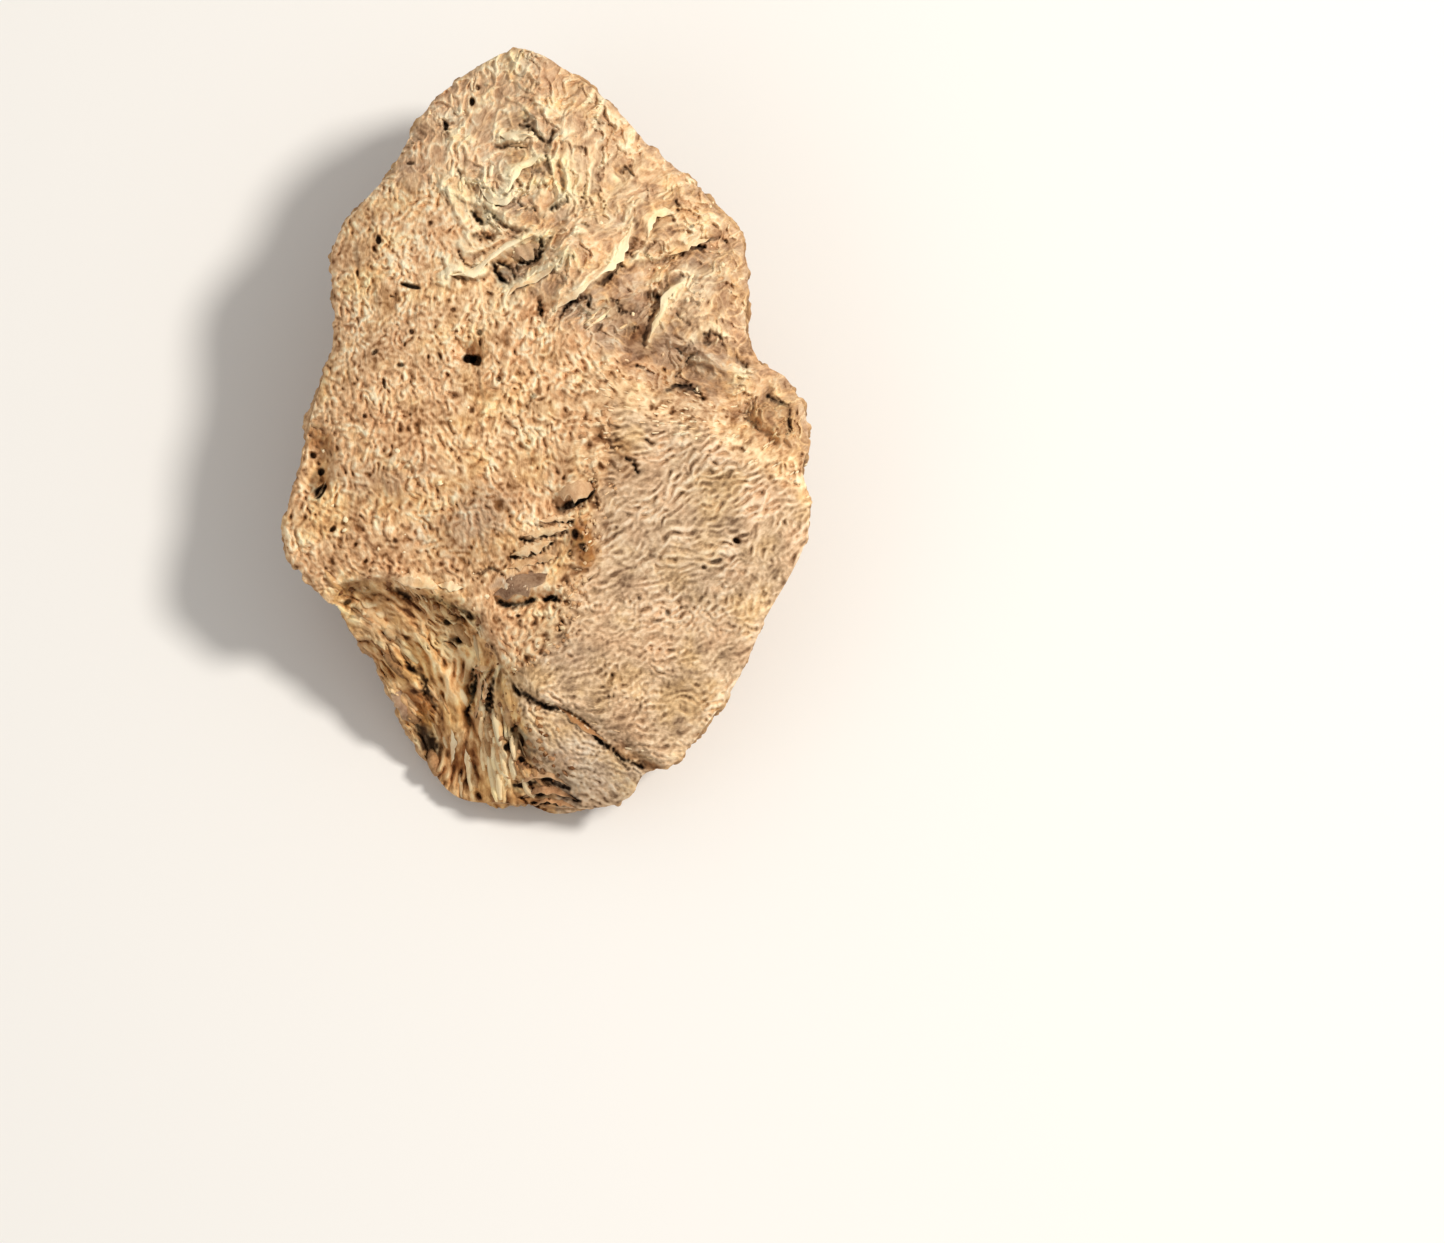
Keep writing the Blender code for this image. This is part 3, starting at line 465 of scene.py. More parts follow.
def window(line, reach):
    # the part of the map around a drawn line
    ends, half = np.array(line), np.array((reliefGrid["halfU"], reliefGrid["halfV"]))
    low = ((ends.min(axis=0) - reach + half) / reliefGrid["cell"]).astype(int)
    high = ((ends.max(axis=0) + reach + half) / reliefGrid["cell"]).astype(int)
    return slice(max(low[1], 0), high[1]), slice(max(low[0], 0), high[0])


def lineSide(u, v, line):
    # distance to a drawn line, and which side of it: 1 on the left, -1 on the right
    best, side = np.full(np.shape(u), 1e9), np.ones(np.shape(u))
    for (u0, v0), (u1, v1) in zip(line, line[1:]):
        du, dv = u1 - u0, v1 - v0
        share = np.clip(((u - u0) * du + (v - v0) * dv) / (du * du + dv * dv + 1e-9), 0.0, 1.0)
        away = np.hypot(u - u0 - share * du, v - v0 - share * dv)
        side = np.where(away < best, np.sign(du * (v - v0) - dv * (u - u0)), side)
        best = np.minimum(best, away)
    return best, side


for height, halfWidth, line in fills.values():
    part = window(line, 4.0 * halfWidth + 1.0)
    relief[part] += height * np.exp(-(lineDistance(wobbleU[part], wobbleV[part], line) / halfWidth) ** 2)
for height, halfWidth, line in folds.values():
    part = window(line, 4.0 * halfWidth + 1.0)
    away, side = lineSide(wobbleU[part], wobbleV[part], line)
    uneven = np.clip(1.0 + 0.25 * wander[part], 0.4, 1.4)
    bump = np.exp(-(away / halfWidth / np.where(side > 0, 1.5, 0.5)) ** 2) * uneven
    relief[part] += 0.62 * height * bump
    foldShade[part] = np.maximum(foldShade[part], bump * min(1.0, height * 1.4))
    # painted shade just beyond the steep side of the fold
    under = np.exp(-((away - 0.85 * halfWidth) / (0.5 * halfWidth)) ** 2) * (side < 0)
    crackShade[part] = np.maximum(crackShade[part], 0.5 * under * min(1.0, height) * uneven)
# cracks and holes are cut in and painted dark with shade
for depth, halfWidth, line in cracks.values():
    part = window(line, 4.0 * halfWidth + 1.0)
    away = lineDistance(wobbleU[part], wobbleV[part], line) + 0.07 * crepeFine[part]
    dip = np.exp(-(away / (0.85 * halfWidth)) ** 2)
    dip = dip * np.clip(0.85 + 0.3 * wanderFine[part] + 0.15 * swell[part], 0.2, 1.3)
    relief[part] -= depth * dip
    crackShade[part] = np.maximum(crackShade[part], dip * min(1.0, depth))
for cu, cv, ru, rv, turn, depth in holes:
    hole = spot(gridU, gridV, (cu, cv, ru, rv, turn))
    hole = smoothStep(hole + 0.10 * lumps * (hole > 0.05), 0.28, 0.60)
    relief = relief - depth * hole
    crackShade = np.maximum(crackShade, hole * min(1.0, 0.35 + depth * 0.6))
# long faint creases, and a few small crevices between the wrinkles, cut in and darkened with painted shade
crease = smoothStep(-creases - 0.3 * mottle, 1.1, 2.4) * (cheek + 0.7 * front + 0.5 * shoulder)
flecks = smoothStep(-crepe - 0.6 * lumps - 0.3 * mottle, 2.5, 3.7)
flecks = flecks * (cheek + front + 0.5 * shoulder + 0.4 * facet)
flecks = np.maximum(flecks, smoothStep(-fibreGrain - 0.5 * lumps, 2.0, 3.0) * fibres)
relief = relief - 0.16 * crease - 0.25 * flecks
crackShade = np.maximum(crackShade, np.maximum(0.34 * crease, 0.55 * flecks))
# the eaten-out strip beside the sawn facet, cut in, with painted shade in its pits
eaten = strip * smoothStep(-lumps - 0.4 * wanderFine, 0.5, 1.5) * smoothStep(-gridV, -3.0, 2.0)
relief = relief - 0.35 * eaten
crackShade = np.maximum(crackShade, 0.45 * eaten)
print("face relief drawn")

# Larger stains and painted shade: warm orange-brown, grey, cream and dark.
stainsAndShade = {
    "warm": ((22.6, 0.8, 3.6, 2.6, -45, 0.45), (14.0, 5.6, 5.0, 1.4, -22, 0.25),
             (8.6, 9.0, 0.9, 1.4, 0, 0.7), (10.2, 11.6, 0.8, 1.6, 20, 0.35),
             (-22.6, -1.2, 1.5, 2.2, 25, 0.85), (3.2, -11.2, 1.6, 2.4, 0, 0.9),
             (7.2, -2.8, 1.0, 2.4, 10, 0.6), (-13.0, -27.6, 1.6, 3.0, 30, 0.8),
             (-8.6, -32.8, 2.6, 1.8, -40, 0.9), (8.2, -32.4, 2.2, 0.9, -35, 0.7),
             (-2.0, -14.4, 1.6, 0.5, 10, 0.7), (17.6, 14.0, 1.2, 2.4, 0, 0.35),
             (-6.9, 19.4, 0.9, 0.5, 20, 0.8), (10.2, -33.4, 1.4, 0.8, -30, 0.9),
             (-4.0, -37.4, 4.0, 0.9, 0, 0.6)),
    # grey: partly the root's own grey, partly painted shade in the pocket, the hollow under the ridge and the
    # dip under the folds
    "grey": ((13.0, -11.0, 9.0, 9.0, 0, 0.25), (-3.4, 15.4, 2.6, 1.5, 25, 0.9),
             (-1.5, 17.4, 1.6, 0.8, 10, 0.6), (4.0, 12.0, 2.6, 1.6, 25, 0.9),
             (7.4, 11.0, 2.4, 2.6, 10, 0.85), (8.4, 14.4, 1.6, 1.6, 0, 0.6), (-3.4, -15.2, 3.0, 0.9, 5, 0.9),
             (-17.0, -20.0, 3.6, 2.4, -40, 0.5), (-6.0, -26.0, 1.0, 3.2, 0, 0.3),
             (0.6, 21.4, 0.9, 1.4, -20, 0.8), (-3.0, 22.0, 1.4, 0.7, -10, 0.5),
             (-1.5, 25.6, 0.8, 0.5, 0, 0.4), (7.0, 20.0, 1.4, 1.2, 0, 0.5),
             (13.0, 7.4, 7.0, 2.6, -20, 0.75), (5.4, 9.0, 3.4, 1.6, -10, 0.5),
             (15.6, 15.0, 3.0, 2.0, 20, 0.4), (14.0, 2.6, 6.0, 1.6, -24, 0.4),
             (4.6, -33.0, 6.0, 3.4, -30, 0.6), (-15.5, 24.0, 4.5, 9.0, 20, 0.25),
             (-8.0, -9.6, 6.0, 3.4, 20, 0.6), (-16.0, -5.0, 5.0, 3.0, 10, 0.4),
             (2.0, -22.0, 3.0, 3.0, 0, 0.35), (-17.0, 9.0, 4.0, 3.0, 20, 0.2)),
    "cream": ((4.0, 24.0, 5.0, 6.0, 20, 0.6), (-6.0, 12.0, 3.4, 3.0, 30, 0.7), (8.0, 2.6, 7.0, 1.3, -24, 0.5),
              (2.0, -19.4, 3.2, 3.4, 0, 0.8), (14.6, 12.0, 3.2, 3.0, 30, 0.75),
              (-8.6, 18.0, 1.4, 4.0, -10, 0.7), (19.5, -2.6, 4.0, 1.2, -24, 0.7),
              (6.0, 33.0, 4.0, 2.0, -35, 0.5), (-13.0, -15.0, 4.0, 0.9, 0, 0.7),
              (-4.6, -34.0, 1.2, 3.4, 20, 0.7), (-2.0, 1.0, 4.0, 3.0, 0, 0.4),
              (-9.4, -4.6, 2.5, 2.0, 0, 0.3)),
    # dark: painted shade in cracks, holes and the fibre cave, and a dark rot spot in the eaten strip
    "dark": ((3.0, -11.0, 0.7, 1.2, 20, 0.4), (-18.0, -16.4, 4.0, 0.8, -8, 0.4),
             (-9.5, -18.2, 3.0, 0.5, -18, 0.25), (-3.0, -31.6, 1.6, 3.4, 35, 0.85),
             (-0.2, -36.2, 3.4, 1.4, -10, 0.8), (-12.4, -31.0, 0.9, 2.2, 20, 0.9),
             (-4.4, 15.6, 0.9, 1.2, -30, 0.6), (14.6, 4.0, 1.8, 0.5, -20, 0.6),
             (2.6, -11.4, 1.0, 1.8, 10, 0.4), (-22.9, -5.4, 0.7, 1.4, 0, 0.8),
             (-5.0, -24.6, 0.4, 3.0, 8, 0.6), (-2.0, 29.9, 0.9, 0.6, -30, 0.6)),
}
stainAndShadeMaps = {}
for markName, places in stainsAndShade.items():
    field = np.zeros_like(gridU)
    for cu, cv, ru, rv, turn, amount in places:
        edge = spot(gridU + 0.5 * wander, gridV + 0.4 * swell, (cu, cv, ru, rv, turn))
        field = np.maximum(field, amount * smoothStep(edge * (1.0 + 0.2 * crepe + 0.16 * lumps), 0.2, 0.8))
    stainAndShadeMaps[markName] = field
warmMap = stainAndShadeMaps["warm"] + 0.6 * eaten + 0.3 * strip + 0.35 * fibres * smoothStep(mottle, 0.2, 1.2)
# cream also goes on fold crests: partly the bark's own cream, partly a painted highlight
creamMap = stainAndShadeMaps["cream"] + 0.5 * ridgeBand + 0.8 * foldShade + 0.4 * strip
# the shoulder is greyed all over and more in its valleys, and fold crests are less grey: painted shade and
# highlight
shoulderShade = shoulder * (0.15 + 0.5 * smoothStep(-crumpled, -0.1, 0.6))
greyMap = stainAndShadeMaps["grey"] + 0.12 * cheek + shoulderShade - 0.5 * foldShade
stainAndShadeMaps["warm"] = np.clip(warmMap, 0, 1)
stainAndShadeMaps["cream"] = np.clip(creamMap, 0, 1) * (1 - 0.7 * facet)
stainAndShadeMaps["grey"] = np.clip(greyMap, 0, 1)
# fold crests are lighter still: partly the bark's own cream, partly a painted highlight
crest = 0.54 + 0.23 * crest + 0.32 * foldShade + 0.06 * mottle + 0.06 * blotches
# lighter and darker reaches of the face
shades = ((-7.0, 28.0, 6.0, 8.0, 0, 0.20), (-12.0, 20.0, 4.0, 5.0, 0, 0.06),
          (-8.8, -23.0, 4.4, 2.8, -50, 0.24), (11.0, 20.4, 3.2, 2.6, 20, -0.14),
          (9.0, 7.0, 3.4, 3.4, 0, -0.10), (-11.0, -13.4, 6.0, 2.8, -8, -0.16),
          (-4.6, -7.2, 2.6, 2.0, 0, -0.15), (-19.0, -12.6, 3.0, 2.4, 0, -0.12),
          (-4.5, 5.2, 2.4, 2.0, 0, -0.12), (-4.5, 36.0, 4.6, 2.6, 0, 0.14),
          (6.0, -25.5, 5.5, 3.5, -25, -0.12), (-6.5, -34.5, 2.6, 2.6, 0, -0.18),
          (-14.0, 0.0, 7.0, 3.8, 0, -0.10), (13.5, 2.6, 4.0, 2.2, -24, -0.13))
for cu, cv, ru, rv, turn, amount in shades:
    crest = crest + amount * spot(gridU, gridV, (cu, cv, ru, rv, turn))
crest = np.clip(crest, 0, 1)
print("stains drawn")


# The body: the solid, remeshed finely and carved.

body = {
    "voxel": 0.13, "smoothing": 22, "hiddenTriangles": 230000,  # before parting
    "barkFurrow": 0.55, "barkGrain": 0.22, "barkHighest": 0.35, "cutGrain": 0.07,  # relief
    "tipReach": 1.3, "rightInset": 0.45, "footReach": 0.6,  # how far the outline is drawn out or in
}


def gradientNoise(p, seed):
    # smooth noise in space, about -1 to 1
    base = np.floor(p).astype(np.int64)
    part = p - base
    ease = part * part * part * (part * (part * 6 - 15) + 10)
    total = np.zeros(len(p))
    for dx in (0, 1):
        for dy in (0, 1):
            for dz in (0, 1):
                corner = base + np.array([dx, dy, dz])
                code = (corner[:, 0] * 73856093) ^ (corner[:, 1] * 19349663) ^ (corner[:, 2] * 83492791)
                code = code ^ (seed * 2654435761)
                code = (code ^ (code >> 13)) * 1274126177 & 0x7FFFFFFF
                angle, height = (code % 4093) / 4093.0 * 2 * math.pi, ((code >> 12) % 2039) / 1019.5 - 1.0
                flat = np.sqrt(np.clip(1 - height ** 2, 0, 1))
                away = part - np.array([dx, dy, dz])
                dot = away[:, 0] * flat * np.cos(angle) + away[:, 1] * flat * np.sin(angle)
                dot = dot + away[:, 2] * height
                weight = np.ones(len(p))
                for axis, side in enumerate((dx, dy, dz)):
                    weight = weight * (ease[:, axis] if side else 1 - ease[:, axis])
                total += weight * dot
    return total * 1.6


def coordinates(mesh, layer="vertices", name="co"):
    items = getattr(mesh, layer)
    values = np.empty(len(items) * 3, np.float32)
    items.foreach_get(name, values)
    return values.reshape(-1, 3).astype(float)


def vertexNormals(mesh):
    values = np.empty(len(mesh.vertices) * 3, np.float32)
    mesh.vertex_normals.foreach_get("vector", values)
    return values.reshape(-1, 3).astype(float)


def applied(obj):
    # bakes the modifiers into the mesh
    depsgraph = bpy.context.evaluated_depsgraph_get()
    mesh = bpy.data.meshes.new_from_object(obj.evaluated_get(depsgraph))
    obj.modifiers.clear()
    old = obj.data
    obj.data = mesh
    bpy.data.meshes.remove(old)
    return mesh


def storeVector(mesh, name, values):
    layer = mesh.attributes.new(name, "FLOAT_VECTOR", "POINT")
    layer.data.foreach_set("vector", np.ascontiguousarray(values, np.float32).ravel())


def barkWall(p, w):
    # bark of the walls: long furrows down the wall, wrinkles along and across them, and a fine crackle
    sway = 1.2 * np.stack([gradientNoise(p / 4.0, 21), gradientNoise(p / 4.0, 22), 0 * w], axis=-1)
    furrow = gradientNoise((p + sway) / np.array([2.4, 2.4, 9.0]), 3)
    wrinkle = np.abs(gradientNoise((p + sway) / np.array([1.0, 1.0, 3.2]), 4)) * 2.0 - 0.6
    crackle = gradientNoise(p / np.array([0.7, 0.7, 1.3]), 5) + 0.6 * gradientNoise(p / 0.45, 6)
    cross = np.abs(gradientNoise((p + sway) / np.array([3.6, 3.6, 1.1]), 9)) * 2.0 - 0.6
    furrowCut = np.minimum(0.0, np.abs(furrow) * 3.0 - 0.6)
    grainLift = body["barkGrain"] * (0.6 * crackle + 0.9 * wrinkle + 0.6 * cross)
    lift = np.minimum(body["barkFurrow"] * (furrow + furrowCut) + grainLift - 0.05, body["barkHighest"])
    # paler towards the rim, and in broad patches
    patch = 0.16 * gradientNoise(p / 7.0, 31) + 0.16 * smoothStep(w, -9.0, -1.0)
    # the tone follows the furrows and wrinkles, darker in their hollows, and furrow floors get painted shade:
    # partly the bark's own colour, partly painted shade
    tone = 0.44 + 0.16 * crackle + 0.14 * furrow + 0.16 * wrinkle + 0.12 * cross + patch
    return lift, tone, 0.5 * np.clip(-furrowCut, 0, 1)


def cutFace(p):
    # the cut underside: rings round the middle and pith speckle, all below its rim
    radius = np.hypot(p[:, 0] / 1.0, (p[:, 1] + 2.0) / 1.5)
    rings = np.sin(radius * 2.6 + 2.2 * gradientNoise(p / 7.0, 12))
    speckle = gradientNoise(p / 0.7, 14)
    depth = np.abs(body["cutGrain"] * (0.6 * rings + 1.4 * speckle) * smoothStep(p[:, 2], 0.02, 0.6))
    return depth, 0.55 + 0.3 * speckle + 0.1 * rings


def drawOut(moved, u, v, w, height):
    # small moves of the outline: the tip outwards, the right side inwards and the foot outwards
    tip = body["tipReach"] * smoothStep(v, 25.0, 38.0) * smoothStep(w, -18.0, -6.0)
    moved = moved + tip[:, None] * mm * np.array([-0.25, math.cos(face["lean"]), math.sin(face["lean"])])
    inset = body["rightInset"] * mm * smoothStep(u, 12.0, 20.0)
    moved[:, 0] -= inset * smoothStep(v, -16.0, -8.0) * smoothStep(-v, -17.0, -11.0)
    foot = np.exp(-((u + 9.5) ** 2 + (v + 36.0) ** 2) / 12.0) * smoothStep(height, 0.5, 3.0)
    return moved + foot[:, None] * mm * np.array([-body["footReach"], -body["footReach"], 0.0])


def carve(mesh):
    # the mesh is in face millimetres here, and in world metres when it leaves
    (u, v, w), normals = coordinates(mesh).T, vertexNormals(mesh)
    points = toWorld(u, v, w)
    upper = smoothStep(normals[:, 2], 0.0, 0.4)
    normals = toWorld(*normals.T) / mm - np.array(face["origin"])
    p = points / mm
    cut = smoothStep(-normals[:, 2], 0.85, 0.98) * smoothStep(-p[:, 2], -7.0, -4.0)
    bark = np.clip(1.0 - upper - cut, 0.0, 1.0)
    barkLift, barkTone, barkDark = barkWall(p, w)
    cutDepth, cutTone = cutFace(p)
    faceLift, sideLift = read(relief, u, v) * upper, barkLift * bark - cutDepth * cut
    moved = points + mm * (outward[None, :] * faceLift[:, None] + normals * sideLift[:, None])
    moved[:, 2] = np.maximum(moved[:, 2], 0.0)
    moved = drawOut(moved, u, v, w, p[:, 2])
    mesh.vertices.foreach_set("co", moved.astype(np.float32).ravel())
    # tone follows the relief on the face and walls: partly the root's own colour, partly painted shade and
    # highlight
    tone = read(crest, u, v) * upper + bark * barkTone + cut * cutTone
    # dark: painted shade in cracks, holes, under folds and in bark furrows, and the dark stains, mostly shade
    # too
    dark = read(np.clip(crackShade + 0.8 * stainAndShadeMaps["dark"], 0, 1), u, v) * upper + bark * barkDark
    torn = read(fibres, u, v) * upper
    stain = [read(stainAndShadeMaps[name], u, v) * upper for name in ("warm", "grey", "cream")]
    storeVector(mesh, "tone", np.stack([np.clip(tone, 0, 1), np.clip(dark, 0, 1), torn], axis=-1))
    storeVector(mesh, "stain", np.stack(stain, axis=-1))
    storeVector(mesh, "side", np.stack([bark, cut, read(facet + toe, u, v) * upper], axis=-1))
    # the grain's direction, doubled, for the fine streaks in the material
    cos2, sin2 = read(np.cos(2 * baseAngle), u, v) * upper, read(np.sin(2 * baseAngle), u, v) * upper - bark
    storeVector(mesh, "grainTurn", np.stack([cos2, sin2, upper], axis=-1))
    mesh.update()
    return upper


def makeBody():
    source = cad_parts["root_slice"]
    bm = bmesh.new()
    bm.from_mesh(source.data)
    bmesh.ops.remove_doubles(bm, verts=bm.verts, dist=1e-6)
    for vertex in bm.verts:
        vertex.co = Vector(np.array(toFace(np.array(vertex.co))))
    mesh = bpy.data.meshes.new("rootBody")
    bm.to_mesh(mesh)
    bm.free()
    obj = bpy.data.objects.new("rootBody", mesh)
    bpy.context.scene.collection.objects.link(obj)
    soft = obj.modifiers.new("Round", "SUBSURF")
    soft.levels = soft.render_levels = 1
    remesh = obj.modifiers.new("Remesh", "REMESH")
    remesh.mode = "VOXEL"
    remesh.voxel_size = body["voxel"]
    smooth = obj.modifiers.new("Smooth", "SMOOTH")
    smooth.factor, smooth.iterations = 0.5, body["smoothing"]
    mesh = applied(obj)
    print("remeshed to", len(mesh.polygons), "faces")
    upper = carve(mesh)
    # only the sides and the underside are thinned
    isHidden = upper < 0.05
    hidden = obj.vertex_groups.new(name="hidden")
    hidden.add([int(i) for i in np.nonzero(isHidden)[0]], 1.0, "REPLACE")
    corners = np.empty(len(mesh.loops), np.int32)
    mesh.loops.foreach_get("vertex_index", corners)
    shown = 2 * int(np.sum(~isHidden[corners]) / 4)
    whole = 2 * len(mesh.polygons)
    thin = obj.modifiers.new("Thin", "DECIMATE")
    thin.vertex_group = "hidden"
    thin.ratio = min(1.0, (shown + body["hiddenTriangles"]) / whole)
    mesh = applied(obj)
    print("carved to", len(mesh.polygons), "faces,", shown, "of them on the face")
    for polygon in mesh.polygons:
        polygon.use_smooth = True
    return obj


# The body is kept in pieces of a moderate size: the face parted at three levels, two walls and the underside.
bodyPieces = ("rootTip", "rootLobe", "rootFront", "rootFoot", "rootLeftWall", "rootRightWall",
              "rootUnderside")
partLines = {"tip": 14.0, "lobe": -4.0, "front": -19.0, "wallTop": 14.33, "wallNormal": 0.1,
             "underNormal": -0.8}


def partBody(whole):
    # each piece keeps the whole body's normals, so that no seam shows
    mesh = whole.data
    centres, normals = coordinates(mesh, "polygons", "center"), coordinates(mesh, "polygons", "normal")
    u, v, w = toFace(centres)
    low = (centres[:, 2] / mm < partLines["wallTop"]) | (normals[:, 2] < partLines["wallNormal"])
    which = np.where(v > partLines["front"], 2, 3)
    which = np.where(v > partLines["lobe"], np.where(v > partLines["tip"], 0, 1), which)
    which = np.where(low, np.where(u < 0.0, 4, 5), which)
    which = np.where(low & (normals[:, 2] < partLines["underNormal"]), 6, which)
    storeVector(mesh, "wholeNormal", vertexNormals(mesh))
    parts = []
    for number, name in enumerate(bodyPieces):
        bm = bmesh.new()
        bm.from_mesh(mesh)
        bm.faces.ensure_lookup_table()
        bmesh.ops.delete(bm, geom=[f for f, n in zip(bm.faces, which) if n != number], context="FACES")
        part = bpy.data.meshes.new(name)
        bm.to_mesh(part)
        bm.free()
        kept = np.empty(len(part.vertices) * 3, np.float32)
        part.attributes["wholeNormal"].data.foreach_get("vector", kept)
        part.normals_split_custom_set_from_vertices([tuple(n) for n in kept.reshape(-1, 3)])
        part.attributes.remove(part.attributes["wholeNormal"])
        obj = bpy.data.objects.new(name, part)
        bpy.context.scene.collection.objects.link(obj)
        print(name, sum(len(p.vertices) - 2 for p in part.polygons), "triangles")
        parts.append(obj)
    return parts


# Materials.

def srgb(red, green, blue):
    def linear(value):
        value = value / 255.0
        return value / 12.92 if value <= 0.04045 else ((value + 0.055) / 1.055) ** 2.4
    return (linear(red), linear(green), linear(blue), 1.0)


class Tree:
    # small helper that adds nodes and links in one call
    def __init__(self, nodeTree):
        self.nodes, self.links = nodeTree.nodes, nodeTree.links

    def add(self, kind, inputs=None, **settings):
        node = self.nodes.new(kind)
        for key, value in settings.items():
            setattr(node, key, value)
        for key, value in (inputs or {}).items():
            if isinstance(value, bpy.types.NodeSocket):
                self.links.new(value, node.inputs[key])
            else:
                node.inputs[key].default_value = value
        return node

    def mix(self, factor, a, b, blend="MIX"):
        node = self.nodes.new("ShaderNodeMix")
        node.data_type, node.blend_type = "RGBA", blend
        for index, value in ((0, factor), (6, a), (7, b)):
            if isinstance(value, bpy.types.NodeSocket):
                self.links.new(value, node.inputs[index])
            else:
                node.inputs[index].default_value = value
        return node.outputs[2]

    def math(self, operation, a, b=0.0, clamp=False):
        node = self.nodes.new("ShaderNodeMath")
        node.operation, node.use_clamp = operation, clamp
        for index, value in ((0, a), (1, b)):
            if isinstance(value, bpy.types.NodeSocket):
                self.links.new(value, node.inputs[index])
            else:
                node.inputs[index].default_value = value
        return node.outputs[0]

    def attribute(self, name):
        # the three numbers that the mesh carries under a name
        vector = self.add("ShaderNodeAttribute", attribute_name=name).outputs["Vector"]
        return self.add("ShaderNodeSeparateXYZ", {0: vector}).outputs

    def ramp(self, factor, stops):
        node = self.nodes.new("ShaderNodeValToRGB")
        self.links.new(factor, node.inputs[0])
        elements = node.color_ramp.elements
        while len(elements) < len(stops):
            elements.new(0.5)
        for element, (position, colour) in zip(elements, stops):
            element.position, element.color = position, colour
        return node.outputs[0]


def fineGrainGroup():
    # fine grain on any dried surface: a value about 0.5 and a height for the bump
    group = bpy.data.node_groups.new("fineGrain", "ShaderNodeTree")
    group.interface.new_socket("Scale", in_out="INPUT", socket_type="NodeSocketFloat")
    group.interface.new_socket("Speckle", in_out="OUTPUT", socket_type="NodeSocketFloat")
    group.interface.new_socket("Height", in_out="OUTPUT", socket_type="NodeSocketFloat")
    tree = Tree(group)
    entry, leave = group.nodes.new("NodeGroupInput"), group.nodes.new("NodeGroupOutput")
    coords = tree.add("ShaderNodeTexCoord").outputs["Object"]
    coarse = tree.add("ShaderNodeTexNoise", {"Vector": coords, "Scale": entry.outputs["Scale"], "Detail": 4.0,
                                             "Roughness": 0.62, "Distortion": 0.6}).outputs["Fac"]
    fineScale = tree.math("MULTIPLY", entry.outputs["Scale"], 3.1)
    fine = tree.add("ShaderNodeTexNoise", {"Vector": coords, "Scale": fineScale, "Detail": 3.0,
                                           "Roughness": 0.7}).outputs["Fac"]
    tree.links.new(coarse, leave.inputs["Speckle"])
    tree.links.new(tree.math("ADD", coarse, tree.math("MULTIPLY", fine, 0.5)), leave.inputs["Height"])
    return group


streakShape = {"directions": (0.0, 45.0, 90.0, 135.0), "length": 0.00075, "width": 0.00026}


def streaksGroup():
    # fine wrinkles that follow the grain: four stretched noises, mixed by the grain's direction
    group = bpy.data.node_groups.new("grainStreaks", "ShaderNodeTree")
    group.interface.new_socket("Grain", in_out="INPUT", socket_type="NodeSocketVector")
    group.interface.new_socket("Size", in_out="INPUT", socket_type="NodeSocketFloat")
    group.interface.new_socket("Streaks", in_out="OUTPUT", socket_type="NodeSocketFloat")
    tree = Tree(group)
    entry, leave = group.nodes.new("NodeGroupInput"), group.nodes.new("NodeGroupOutput")
    coords = tree.add("ShaderNodeTexCoord").outputs["Object"]
    sized = tree.add("ShaderNodeVectorMath", {0: coords}, operation="SCALE")
    tree.links.new(entry.outputs["Size"], sized.inputs["Scale"])
    turn = tree.add("ShaderNodeSeparateXYZ", {0: entry.outputs["Grain"]}).outputs
    total, weights = None, None
    for index, degrees in enumerate(streakShape["directions"]):
        c, s = math.cos(2 * math.radians(degrees)), math.sin(2 * math.radians(degrees))
        along = tree.math("ADD", tree.math("MULTIPLY", turn[0], c), tree.math("MULTIPLY", turn[1], s), True)
        weight = tree.math("ADD", along, 0.08)
        place = tree.add("ShaderNodeMapping", {"Vector": sized.outputs[0]}, vector_type="TEXTURE")
        place.inputs["Rotation"].default_value = (0.0, 0.0, math.radians(degrees))
        place.inputs["Scale"].default_value = (streakShape["length"], streakShape["width"],
                                               streakShape["length"])
        place.inputs["Location"].default_value = (0.013 * index, 0.007 * index, 0.0)
        noise = tree.add("ShaderNodeTexNoise", {"Vector": place.outputs[0], "Scale": 1.0, "Detail": 2.0,
                                                "Roughness": 0.65, "Distortion": 0.8}).outputs["Fac"]
        part = tree.math("MULTIPLY", noise, weight)
        total = part if total is None else tree.math("ADD", total, part)
        weights = weight if weights is None else tree.math("ADD", weights, weight)
    tree.links.new(tree.math("DIVIDE", total, weights), leave.inputs["Streaks"])
    return group


fineGrain = fineGrainGroup()
grainStreaks = streaksGroup()
